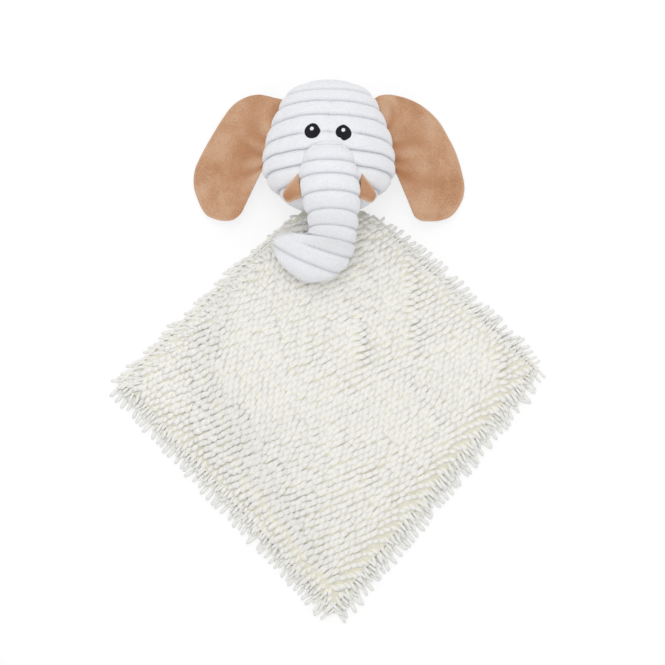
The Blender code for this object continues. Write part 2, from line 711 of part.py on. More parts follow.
def build():
    """Builds the whole lovey."""
    for old in list(bpy.data.objects):
        bpy.data.objects.remove(old)
    corduroy = cloth_material("White corduroy", (0.83, 0.84, 0.88), 0.95)
    tan_plush = cloth_material("Tan plush", (0.55, 0.28, 0.14), 0.9)
    white_plush = cloth_material("White plush", (0.85, 0.85, 0.83), 0.95)
    noodle = cloth_material("Cream noodle chenille", (0.88, 0.87, 0.79), 0.95)
    backing = cloth_material("Cream backing", (0.8, 0.79, 0.72), 0.9)
    filling = cloth_material("Polyester filling", (0.9, 0.9, 0.9), 1)
    black_thread = cloth_material("Black thread", (0.012, 0.012, 0.018), 0.6)
    white_thread = cloth_material("White thread", (0.85, 0.85, 0.9), 0.6)

    neck = Vector((0, NECK_Y, NECK_HEIGHT))
    neck_clearance = hide_cutter(add_ball("neck_clearance", neck, NECK_TUCK_RADIUS + RUNNING_GAP))
    head_clearance = hide_cutter(head_solid("head_clearance", -SEAT_GAP, HEAD_FORM_RINGS, HEAD_FORM_SIDES))
    head_surface = surface_of(head_clearance)

    seam = SIDE_SEAM_ANGLE
    face_right = head_panel("face_panel_right", 0, seam, FACE_COLUMN_SHARES, corduroy)
    face_left = head_panel("face_panel_left", 2 * math.pi - seam, 2 * math.pi, FACE_COLUMN_SHARES, corduroy)
    back = head_panel("head_back_panel", seam, 2 * math.pi - seam, BACK_COLUMN_SHARES, corduroy)
    filling_depth = RIB_HEIGHT + CORDUROY_THICKNESS + STUFFING_CLEARANCE
    filling_floor = CORDUROY_THICKNESS + SEAT_GAP
    stuffing_sizes = (filling_depth, STUFFING_RINGS, STUFFING_SIDES, filling_floor)
    stuffing = head_solid("head_stuffing", *stuffing_sizes, filling)
    for piece in (back, stuffing):
        cut(piece, neck_clearance)
    neck_tuck = add_ball("neck_tuck", neck, NECK_TUCK_RADIUS, backing)

    trunk_cover = trunk_solid("trunk_cover", 0, rib_rings(TRUNK_GROOVE_ROWS), corduroy)
    plain_rows = [(row, 1) for row in np.linspace(TRUNK_HOLLOW_START, TRUNK_HOLLOW_END, TRUNK_HOLLOW_RINGS)]
    trunk_hollow = hide_cutter(trunk_solid("trunk_hollow", CORDUROY_THICKNESS, plain_rows))
    filling_inset = CORDUROY_THICKNESS + STUFFING_CLEARANCE
    trunk_stuffing = trunk_solid("trunk_stuffing", filling_inset, plain_rows[1:-1], filling)
    cut(trunk_cover, trunk_hollow, head_clearance)
    cut(trunk_stuffing, head_clearance)
    trunk_z = height_on(head_surface, 0, TRUNK_LIFT_Y)
    trunk_hinge = Vector((0, TRUNK_LIFT_Y, trunk_z))

    pieces_by_joint = {"trunk_frame": (trunk_hinge, (trunk_cover, trunk_stuffing))}
    hinge = ear_hinge(surface_of(face_right))
    for side, word in ((-1, "left"), (1, "right")):
        cover = tusk_solid(f"tusk_cover_{word}", side, head_surface, 0, TUSK_ROW_SHARES, tan_plush)
        inner_rows = TUSK_ROW_SHARES[1:-1]
        hollow = tusk_solid(f"tusk_hollow_{word}", side, head_surface, PLUSH_THICKNESS, inner_rows)
        inset = PLUSH_THICKNESS + STUFFING_CLEARANCE
        core = tusk_solid(f"tusk_stuffing_{word}", side, head_surface, inset, inner_rows, filling)
        cut(cover, hide_cutter(hollow), head_clearance)
        cut(core, head_clearance)
        tusk_hinge = tusk_root(side, head_surface) + Vector((0, 0, TUSK_THICKNESS * TUSK_HINGE_SHARE))
        pieces_by_joint[f"tusk_frame_{word}"] = (tusk_hinge, (cover, core))
        ear_front = ear_ply(f"ear_front_{word}", hinge, side, 1, tan_plush)
        ear_back = ear_ply(f"ear_back_{word}", hinge, side, -1, white_plush)
        root = (hinge[0] + hinge[1]) / 2
        pieces_by_joint[f"ear_frame_{word}"] = (Vector((side * root.x, root.y, root.z)), (ear_front, ear_back))

    eyes = []
    for side, word, face in ((-1, "left", face_left), (1, "right", face_right)):
        x = side * EYE_SPACING / 2
        sizes = (EYE_RADIUS, EYE_GAP, EYE_THICKNESS, EYE_RINGS, EYE_SIDES)
        eye = add_disc(f"eye_{word}", surface_of(face), x, EYE_Y, *sizes, black_thread)
        highlight_y = EYE_Y + EYE_RADIUS * HIGHLIGHT_RAISE_SHARE
        sizes = (HIGHLIGHT_RADIUS, SEAT_GAP, HIGHLIGHT_THICKNESS, HIGHLIGHT_RINGS, HIGHLIGHT_SIDES)
        highlight = add_disc(f"eye_highlight_{word}", surface_of(eye), x, highlight_y, *sizes, white_thread)
        eyes += [eye, highlight]

    front = front_ply(noodle)
    plain = back_ply(backing)
    half = Vector((BLANKET_SIDE, BLANKET_SIDE / 2, CUT_OVERRUN * 2))
    low = Vector((0, GATHER_END_Y + half.y, 0))
    box = [low + Vector((x * half.x, y * half.y, z * half.z)) for x in (-1, 1) for y in (-1, 1) for z in (-1, 1)]
    box_faces = [(0, 1, 3, 2), (4, 5, 7, 6), (0, 1, 5, 4), (2, 3, 7, 6), (0, 2, 6, 4), (1, 3, 7, 5)]
    beyond_neck = hide_cutter(add_object("beyond_neck", box, box_faces))
    cut(front, beyond_neck, neck_clearance)
    cut(plain, beyond_neck)
    names = ("upper_left", "upper_right", "lower_right", "lower_left")
    strips = [hem_strip(f"hem_noodles_{name}", i, noodle) for i, name in enumerate(names)]

    neck_frame = joint_frame("neck_frame", neck)
    head_frame = joint_frame("head_frame", neck)
    carry(front, plain, neck_frame, *strips)
    carry(neck_frame, neck_tuck, head_frame)
    carry(head_frame, face_left, face_right, back, stuffing, *eyes)
    for name, (origin, pieces) in pieces_by_joint.items():
        frame = joint_frame(name, origin)
        for piece in pieces:
            turn_about(piece, origin)
        carry(head_frame, frame)
        carry(frame, *pieces)


build()
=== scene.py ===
"""The comfort blanket lovey as photographed: an elephant head on a noodle blanket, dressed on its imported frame."""

from __future__ import annotations

import logging
import math
from dataclasses import dataclass, field
from enum import Enum
from typing import Any, Callable, Sequence

import bmesh
import bpy
import numpy as np
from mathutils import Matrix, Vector, noise
from mathutils.bvhtree import BVHTree

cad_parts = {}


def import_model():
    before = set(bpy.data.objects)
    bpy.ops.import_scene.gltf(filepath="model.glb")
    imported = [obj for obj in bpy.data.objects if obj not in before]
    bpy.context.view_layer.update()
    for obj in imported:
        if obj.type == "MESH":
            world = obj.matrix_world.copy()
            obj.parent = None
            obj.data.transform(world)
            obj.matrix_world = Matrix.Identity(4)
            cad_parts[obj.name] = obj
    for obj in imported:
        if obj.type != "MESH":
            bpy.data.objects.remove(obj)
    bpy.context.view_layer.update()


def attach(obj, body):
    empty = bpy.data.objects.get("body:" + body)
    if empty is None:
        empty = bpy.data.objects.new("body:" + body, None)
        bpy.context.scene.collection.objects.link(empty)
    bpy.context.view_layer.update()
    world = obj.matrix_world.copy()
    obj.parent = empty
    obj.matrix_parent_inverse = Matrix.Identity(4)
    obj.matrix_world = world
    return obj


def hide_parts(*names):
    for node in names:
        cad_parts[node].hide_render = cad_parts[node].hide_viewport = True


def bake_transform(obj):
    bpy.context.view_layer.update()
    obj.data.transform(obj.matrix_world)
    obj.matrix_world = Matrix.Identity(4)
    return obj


Triple = tuple[float, float, float]
Pair = tuple[float, float]
Shares = tuple[float, ...]
Marks = dict[str, np.ndarray]
Piece = bpy.types.Object
Cloth = bpy.types.Material
Settings = dict[str, Any]
Inputs = dict[Any, Any]

MM = 0.001
LOG = logging.getLogger("lovey")
SHARP_ANGLE = math.radians(66)
LEAST_CORE_SHARE = 0.33
FULL_TURN = 2 * math.pi
WAVE_SCALE = 0.31416


class Side(Enum):
    """The viewer's left and right, as the sign of x."""

    LEFT = -1
    RIGHT = 1

    @property
    def word(self) -> str:
        """The side's name in the names of the pieces."""
        return self.name.lower()


# Numbers and meshes


def smooth_curve(places: Sequence[float], values: Sequence[Any]) -> Callable[[np.ndarray], np.ndarray]:
    """Makes a reader of a table that runs smoothly between its rows.

    Args:
        places: Where each row stands, rising.
        values: The rows, numbers or lists of numbers.

    Returns:
        A function from places to values.
    """
    stations = np.asarray(places, float)
    rows = np.asarray(values, float)
    slopes = np.gradient(rows, stations, axis=0)

    def read(place: Any) -> np.ndarray:
        """Reads the table at one place or at many."""
        at = np.asarray(place, float)
        i = np.clip(np.searchsorted(stations, at) - 1, 0, len(stations) - 2)
        step = stations[i + 1] - stations[i]
        t = (at - stations[i]) / step
        if rows.ndim > 1:
            t, step = t[..., None], step[..., None]
        return (
            (2 * t**3 - 3 * t**2 + 1) * rows[i]
            + (t**3 - 2 * t**2 + t) * step * slopes[i]
            + (3 * t**2 - 2 * t**3) * rows[i + 1]
            + (t**3 - t**2) * step * slopes[i + 1]
        )

    return read


def fade(value: Any, start: float, end: float) -> np.ndarray:
    """Rises smoothly from 0 at start to 1 at end."""
    t = np.clip((np.asarray(value, float) - start) / (end - start), 0, 1)
    return t * t * (3 - 2 * t)


def hump(value: Any, middle: float, width: float) -> np.ndarray:
    """A bell of height 1 round the middle."""
    return np.exp(-(((np.asarray(value, float) - middle) / width) ** 2))


def waver(points: np.ndarray, *octaves: tuple[float, float, float]) -> np.ndarray:
    """Smooth noise at each point.

    Args:
        points: Places in metres, three numbers each.
        octaves: The size of each octave's lumps in metres, its height, and a seed that shifts it.

    Returns:
        One number for each point.
    """
    total = np.zeros(points.shape[:-1])
    for grain, height, seed in octaves:
        spots = points.reshape(-1, 3) / grain + seed * 17.3
        total = total + np.array([noise.noise(Vector(p)) for p in spots]).reshape(total.shape) * height
    return total


def rounds(sides: int) -> np.ndarray:
    """The angles of the points of a ring."""
    return np.linspace(0, FULL_TURN, sides, endpoint=False)


def level(spots: np.ndarray) -> np.ndarray:
    """Places seen from above, with a height of 0."""
    return np.concatenate([spots, np.zeros_like(spots[..., :1])], axis=-1)


def unit(way: np.ndarray) -> np.ndarray:
    """A direction of length 1."""
    return way / np.linalg.norm(way)


def link(name: str, mesh: bpy.types.Mesh) -> Piece:
    """Adds a mesh to the scene as an object at the origin."""
    piece = bpy.data.objects.new(name, mesh)
    bpy.context.scene.collection.objects.link(piece)
    return piece


def mark_points(mesh: bpy.types.Mesh, marks: Marks) -> None:
    """Stores numbers at the vertices of a mesh, by name."""
    for mark, values in marks.items():
        layer = mesh.attributes.new(mark, "FLOAT", "POINT")
        layer.data.foreach_set("value", np.asarray(values, np.float32).ravel())


def add_mesh(name: str, points: np.ndarray, faces: Sequence[Sequence[int]], cloth: Cloth, marks: Marks) -> Piece:
    """Adds a closed smooth mesh.

    Args:
        name: The object's name.
        points: The vertices in metres.
        faces: The vertex numbers of each face.
        cloth: The finish.
        marks: Numbers at each vertex that the finish reads, by name.

    Returns:
        The new object.
    """
    mesh = bpy.data.meshes.new(name)
    mesh.from_pydata(np.asarray(points, float).reshape(-1, 3).tolist(), [], [list(map(int, f)) for f in faces])
    mark_points(mesh, marks)
    shape = bmesh.new()
    shape.from_mesh(mesh)
    bmesh.ops.recalc_face_normals(shape, faces=shape.faces)
    shape.to_mesh(mesh)
    shape.free()
    mesh.materials.append(cloth)
    mesh.shade_smooth()
    return link(name, mesh)


def grid_faces(rows: int, columns: int, round_rows: bool = False) -> list[tuple[int, ...]]:
    """The faces of a grid of points.

    Args:
        rows: How many rows of points.
        columns: How many points in a row.
        round_rows: True where each row closes on itself.

    Returns:
        The vertex numbers of each face.
    """
    faces = []
    for i in range(rows - 1):
        for j in range(columns if round_rows else columns - 1):
            k = (j + 1) % columns
            a, b = i * columns, (i + 1) * columns
            faces.append((a + j, a + k, b + k, b + j))
    return faces


def add_shell(name: str, outer: np.ndarray, inner: np.ndarray, cloth: Cloth, marks: Marks) -> Piece:
    """Adds a closed layer of cloth between two grids of points.

    Args:
        name: The object's name.
        outer: The grid that shows, rows by columns by three.
        inner: The grid behind it, of the same size.
        cloth: The finish.
        marks: Numbers on the outer grid that the finish reads.

    Returns:
        The new object.
    """
    rows, columns = outer.shape[:2]
    count = rows * columns
    faces = grid_faces(rows, columns)
    faces += [tuple(reversed([k + count for k in face])) for face in faces]
    index = np.arange(count).reshape(rows, columns)
    rim = [*index[0, :-1], *index[:-1, -1], *index[-1, :0:-1], *index[:0:-1, 0]]
    faces += [(b, a, count + a, count + b) for a, b in zip(rim, rim[1:] + rim[:1])]
    both = {mark: np.concatenate([values.ravel()] * 2) for mark, values in marks.items()}
    piece = add_mesh(name, np.concatenate([outer.reshape(-1, 3), inner.reshape(-1, 3)]), faces, cloth, both)
    piece.data.set_sharp_from_angle(angle=SHARP_ANGLE)
    return piece


def add_tube(name: str, rings: np.ndarray, cloth: Cloth, marks: Marks | None = None) -> Piece:
    """Adds a closed solid through rings of points, with a fan over each end.

    Args:
        name: The object's name.
        rings: Rings by sides by three.
        cloth: The finish.
        marks: Numbers on the rings that the finish reads.

    Returns:
        The new object.
    """
    count, sides = rings.shape[:2]
    faces = grid_faces(count, sides, round_rows=True)
    last = (count - 1) * sides
    for j in range(sides):
        k = (j + 1) % sides
        faces.append((k, j, count * sides))
        faces.append((last + j, last + k, count * sides + 1))
    ends = np.array([rings[0].mean(axis=0), rings[-1].mean(axis=0)])
    full = {m: np.append(v.ravel(), [v[0].mean(), v[-1].mean()]) for m, v in (marks or {}).items()}
    return add_mesh(name, np.concatenate([rings.reshape(-1, 3), ends]), faces, cloth, full)


def surface_of(*pieces: Piece) -> BVHTree:
    """The joined surface of some pieces, to find places on it."""
    points: list[Vector] = []
    faces: list[tuple[int, ...]] = []
    for piece in pieces:
        start = len(points)
        points += [vertex.co.copy() for vertex in piece.data.vertices]
        faces += [tuple(start + k for k in face.vertices) for face in piece.data.polygons]
    return BVHTree.FromPolygons(points, faces)


def height_on(surface: BVHTree, x: float, y: float) -> float:
    """The height of a surface seen from above at a place, or 0 beside it."""
    hit = surface.ray_cast(Vector((x, y, 0.3)), Vector((0, 0, -1)))[0]
    return hit.z if hit is not None else 0.0


@dataclass(frozen=True)
class Bend:
    """Where cloth would bend from the body that carries it to its own: the last place on the one, the first on the
    other; seat only checks that one is given.
    """

    carrier: str
    start: Triple
    end: Triple


def seat(
    piece: Piece, body: str, node: str, bend: Bend | None = None
) -> Piece:
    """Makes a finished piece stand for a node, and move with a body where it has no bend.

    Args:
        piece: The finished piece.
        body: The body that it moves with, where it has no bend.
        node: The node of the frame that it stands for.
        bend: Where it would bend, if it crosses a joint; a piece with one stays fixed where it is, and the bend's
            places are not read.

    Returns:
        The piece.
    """
    if bend is None:
        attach(piece, body)
    else:
        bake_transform(piece)
    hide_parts(node)
    LOG.info("%s: %d faces on %s", piece.name, len(piece.data.polygons), body)
    return piece


# Node trees and finishes


class Wire:
    """A value in a node tree, whose Python operators add the nodes that work it out."""

    def __init__(self, tree: Tree, socket: bpy.types.NodeSocket) -> None:
        """Wraps one output socket of the tree."""
        self.tree = tree
        self.socket = socket

    def math(self, operation: str, other: Any = 0.0, reflected: bool = False) -> Wire:
        """Adds a Math node on this value and another.

        Args:
            operation: What the node does.
            other: The other value.
            reflected: True where the other value comes first.

        Returns:
            The result.
        """
        first, second = (other, self) if reflected else (self, other)
        return self.tree.node("ShaderNodeMath", {"operation": operation}, {0: first, 1: second})

    def __add__(self, other: Any) -> Wire:
        """Adds."""
        return self.math("ADD", other)

    def __sub__(self, other: Any) -> Wire:
        """Takes away."""
        return self.math("SUBTRACT", other)

    def __rsub__(self, other: Any) -> Wire:
        """Is taken away from a number."""
        return self.math("SUBTRACT", other, True)

    def __mul__(self, other: Any) -> Wire:
        """Multiplies."""
        return self.math("MULTIPLY", other)

    def __truediv__(self, other: Any) -> Wire:
        """Divides."""
        return self.math("DIVIDE", other)

    __radd__ = __add__
    __rmul__ = __mul__


class Tree:
    """A node tree, and the one method that adds its nodes."""

    def __init__(self, tree: bpy.types.NodeTree) -> None:
        """Wraps the tree."""
        self.tree = tree

    def add(self, kind: str, settings: Settings | None = None, inputs: Inputs | None = None) -> bpy.types.Node:
        """Adds a node.

        Args:
            kind: The node's type.
            settings: Its own settings, set first.
            inputs: Values or links of its sockets, by name or number.

        Returns:
            The node.
        """
        node = self.tree.nodes.new(kind)
        for setting, value in (settings or {}).items():
            setattr(node, setting, value)
        for socket, value in (inputs or {}).items():
            self.join(value, node.inputs[socket])
        return node

    def node(
        self, kind: str, settings: Settings | None = None, inputs: Inputs | None = None, output: int | str = 0
    ) -> Wire:
        """Adds a node and takes one of its outputs.

        Args:
            kind: The node's type.
            settings: Its own settings, set first.
            inputs: Values or links of its sockets, by name or number.
            output: The output, by name or number.

        Returns:
            The output as a value that can be worked with.
        """
        return Wire(self, self.add(kind, settings, inputs).outputs[output])

    def join(self, value: Any, socket: bpy.types.NodeSocket) -> None:
        """Sets a socket to a value, or links one to it."""
        if isinstance(value, Wire):
            self.tree.links.new(value.socket, socket)
        elif hasattr(socket.default_value, "__len__") and len(value) < len(socket.default_value):
            socket.default_value = (*value, 1)
        else:
            socket.default_value = value


class Paint(Tree):
    """One procedural cloth material."""

    def __init__(self, name: str, roughness: float, sheen: float, sheen_tint: Sequence[float]) -> None:
        """Starts a cloth material.

        Args:
            name: The material's name.
            roughness: The roughness all over it.
            sheen: How strongly its pile lights up at a slant.
            sheen_tint: The colour of that light.
        """
        self.material = bpy.data.materials.new(name)
        self.material.use_nodes = True
        super().__init__(self.material.node_tree)
        self.shader = self.tree.nodes["Principled BSDF"]
        constants = {"Roughness": roughness, "Sheen Weight": sheen, "Sheen Roughness": 0.6, "Sheen Tint": sheen_tint}
        for socket, value in {**constants, "Specular IOR Level": 0.2}.items():
            self.join(value, self.shader.inputs[socket])

    def mix(self, share: Any, first: Any, second: Any) -> Wire:
        """A colour between two, by a share from 0 to 1."""
        return self.node("ShaderNodeMix", {"data_type": "RGBA"}, {0: share, 6: first, 7: second}, 2)

    def ramp(self, share: Wire, start: float, end: float) -> Wire:
        """A share that rises from 0 at a start to 1 at an end."""
        return self.node("ShaderNodeMapRange", {}, {0: share, 1: start, 2: end})

    def shaded(self, colour: Any, shade: Wire) -> Wire:
        """A colour times a shade."""
        return self.node("ShaderNodeVectorMath", {"operation": "SCALE"}, {0: colour, "Scale": shade})

    def place(self) -> Wire:
        """The place on the piece in metres."""
        return self.node("ShaderNodeTexCoord", output="Object")

    def mark(self, name: str) -> Wire:
        """A number that the mesh carries at each vertex."""
        return self.node("ShaderNodeAttribute", {"attribute_name": name}, output="Fac")

    def lumps(self, grain: float, detail: float = 2) -> Wire:
        """Smooth noise from 0 to 1 with lumps of a size in metres."""
        inputs = {"Vector": self.place(), "Scale": 1 / grain, "Detail": detail}
        return self.node("ShaderNodeTexNoise", {}, inputs, "Fac")

    def tufts(self, grain: float) -> Wire:
        """Rounded tufts of a size in metres, 0 in their middles."""
        return self.node("ShaderNodeTexVoronoi", {}, {"Vector": self.place(), "Scale": 1 / grain}, "Distance")

    def waves(self, grain: float, way: str, place: Wire, inputs: dict[str, float]) -> Wire:
        """Parallel waves.

        Args:
            grain: How far apart they are in metres.
            way: The axis that they follow one another along.
            place: The place on the piece.
            inputs: The node's other inputs.

        Returns:
            Their height from 0 to 1.
        """
        settings = {"bands_direction": way, "wave_profile": "SIN"}
        inputs = {"Vector": place, "Scale": WAVE_SCALE / grain, **inputs}
        return self.node("ShaderNodeTexWave", settings, inputs, "Fac")

    def finish(self, colour: Any, height: Any, depth: float) -> Cloth:
        """Wires the colour and a bump.

        Args:
            colour: The base colour.
            height: The height of the relief, from 0 to 1.
            depth: How deep the relief is in metres.

        Returns:
            The material.
        """
        self.join(colour, self.shader.inputs["Base Color"])
        bump = self.node("ShaderNodeBump", {}, {"Strength": 1.0, "Distance": depth, "Height": height}, "Normal")
        self.join(bump, self.shader.inputs["Normal"])
        return self.material


@dataclass(frozen=True)
class Corduroy:
    """White wide-wale corduroy with a looped pile, with shade painted darker between its ribs."""

    crest: Triple = (0.85, 0.856, 0.885)
    groove_shade: Triple = (0.66, 0.67, 0.71)
    tuft: float = 1.3 * MM
    relief: float = 0.7 * MM

    def material(self) -> Cloth:
        """Builds the material, which reads the mark "rib", 0 between the ribs and 1 on their crests."""
        paint = Paint("White corduroy", 0.95, 0.25, (1, 1, 1))
        loops = 1 - paint.tufts(self.tuft)
        shade = loops * 0.13 + paint.lumps(9 * MM, 4) * 0.06 + 0.885
        # Painted shade: the grooves between the ribs take the darker groove colour.
        colour = paint.shaded(paint.mix(paint.mark("rib"), self.groove_shade, self.crest), shade)
        return paint.finish(colour, loops * 0.7 + paint.lumps(0.45 * MM, 3) * 0.5, self.relief)


@dataclass(frozen=True)
class Velour:
    """Short velour, whose nap lies in soft lighter and darker patches."""

    name: str
    base: Triple
    dark: Triple
    light: Triple
    sheen: float = 0.3
    # The tint of the painted shade, and the gain of the painted rim highlight.
    painted_shade_tint: Triple = (0.98, 0.88, 0.78)
    rim_highlight_gain: float = 1.12
    stops: Triple = (0.15, 0.5, 0.85)

    def material(self) -> Cloth:
        """Builds the material, which reads two marks: one that is 1 where shade is painted darker, in creases and other
        shaded places, and one that is 1 where a highlight is painted lighter along a rim.
        """
        paint = Paint(self.name, 0.85, self.sheen, self.light)
        nap = paint.lumps(1.2 * MM, 3)
        share = paint.lumps(34 * MM, 1) * 1.5 + paint.lumps(9 * MM) * 0.5 + nap * 1.3 - 1.15
        colour = paint.node("ShaderNodeValToRGB", {}, {"Fac": share}, "Color")
        ramp = colour.socket.node.color_ramp
        ramp.elements.new(self.stops[1])
        for element, stop, shade in zip(ramp.elements, self.stops, (self.dark, self.base, self.light)):
            element.position, element.color = stop, (*shade, 1)
        # Painted shade: creases and other shaded places are coloured towards a deeper, warmer dark tone.
        deep = tuple(c * f for c, f in zip(self.dark, self.painted_shade_tint))
        colour = paint.mix(paint.mark("tuck") * 0.7, colour, deep)
        # Painted highlight: rims and seam welts are coloured lighter than the lightest nap, where they catch the light.
        colour = paint.mix(paint.mark("rub") * 0.8, colour, tuple(c * self.rim_highlight_gain for c in self.light))
        return paint.finish(colour, nap * 0.7 + paint.lumps(0.35 * MM) * 0.5, 0.25 * MM)


@dataclass(frozen=True)
class Chenille:
    """Cream noodle chenille, yellower towards the roots of the noodles, where bounce light is painted into the gaps,
    and greyer at their tips.
    """

    name: str = "Cream noodle chenille"
    tip: Triple = (0.77, 0.765, 0.745)
    body: Triple = (0.885, 0.873, 0.822)
    root: Triple = (0.96, 0.92, 0.78)
    root_end: float = 0.45
    tip_start: float = 0.62
    tip_full: float = 0.92

    def material(self) -> Cloth:
        """Builds the material, which reads the mark "reach", 0 at a noodle's root and 1 at its tip."""
        paint = Paint(self.name, 0.92, 0.25, (1, 1, 0.95))
        reach, fuzz = paint.mark("reach"), paint.lumps(0.8 * MM, 3)
        # Painted bounce light: the roots, down in the shaded gaps, take a warmer colour than the body.
        colour = paint.mix(paint.ramp(reach, 0.0, self.root_end), self.root, self.body)
        colour = paint.mix(paint.ramp(reach, self.tip_start, self.tip_full), colour, self.tip)
        colour = paint.shaded(colour, fuzz * 0.1 + paint.lumps(14 * MM) * 0.06 + 0.92)
        return paint.finish(colour, fuzz * 0.6 + paint.tufts(0.7 * MM) * 0.6, 0.3 * MM)


@dataclass(frozen=True)
class Knit:
    """Plain fine knit of one colour, for the backing and the ground under the noodles."""

    name: str
    colour: Triple
    stitch: float = 1.1 * MM
    dark: float = 0.78

    def material(self) -> Cloth:
        """Builds the material."""
        paint = Paint(self.name, 0.9, 0.1, (1, 1, 1))
        turned = paint.node("ShaderNodeMapping", {}, {"Vector": paint.place(), "Rotation": (0, 0, math.radians(45))})
        across, along = (paint.waves(self.stitch, way, turned, {"Distortion": 0.6}) for way in ("X", "Y"))
        loops = across * along
        share = loops * 0.5 + paint.lumps(12 * MM) * 0.4
        colour = paint.mix(share, tuple(c * self.dark for c in self.colour), self.colour)
        return paint.finish(colour, loops, 0.3 * MM)


@dataclass(frozen=True)
class Embroidery:
    """Satin stitches side by side, with a dull shine and a painted sheen along each thread."""

    name: str
    colour: Triple
    light: Triple
    thread: float = 0.42 * MM

    def material(self) -> Cloth:
        """Builds the material, whose threads run up the face."""
        paint = Paint(self.name, 0.5, 0.0, (1, 1, 1))
        wave = paint.waves(self.thread, "X", paint.place(), {"Distortion": 1.5, "Detail": 2.0})
        # Painted sheen: the crests of the threads are coloured lighter, mixed with random lighter patches.
        colour = paint.mix(wave * 0.6 + paint.lumps(2.5 * MM) * 0.4, self.colour, self.light)
        return paint.finish(colour, wave, 0.15 * MM)


@dataclass(frozen=True)
class Filling:
    """Loose polyester fibre."""

    colour: Triple = (0.86, 0.86, 0.86)
    dark: float = 0.85

    def material(self) -> Cloth:
        """Builds the material."""
        paint = Paint("Polyester filling", 0.95, 0.3, (1, 1, 1))
        strands = paint.lumps(2.2 * MM, 6)
        colour = paint.mix(strands, tuple(c * self.dark for c in self.colour), self.colour)
        return paint.finish(colour, strands, 0.8 * MM)


# Head


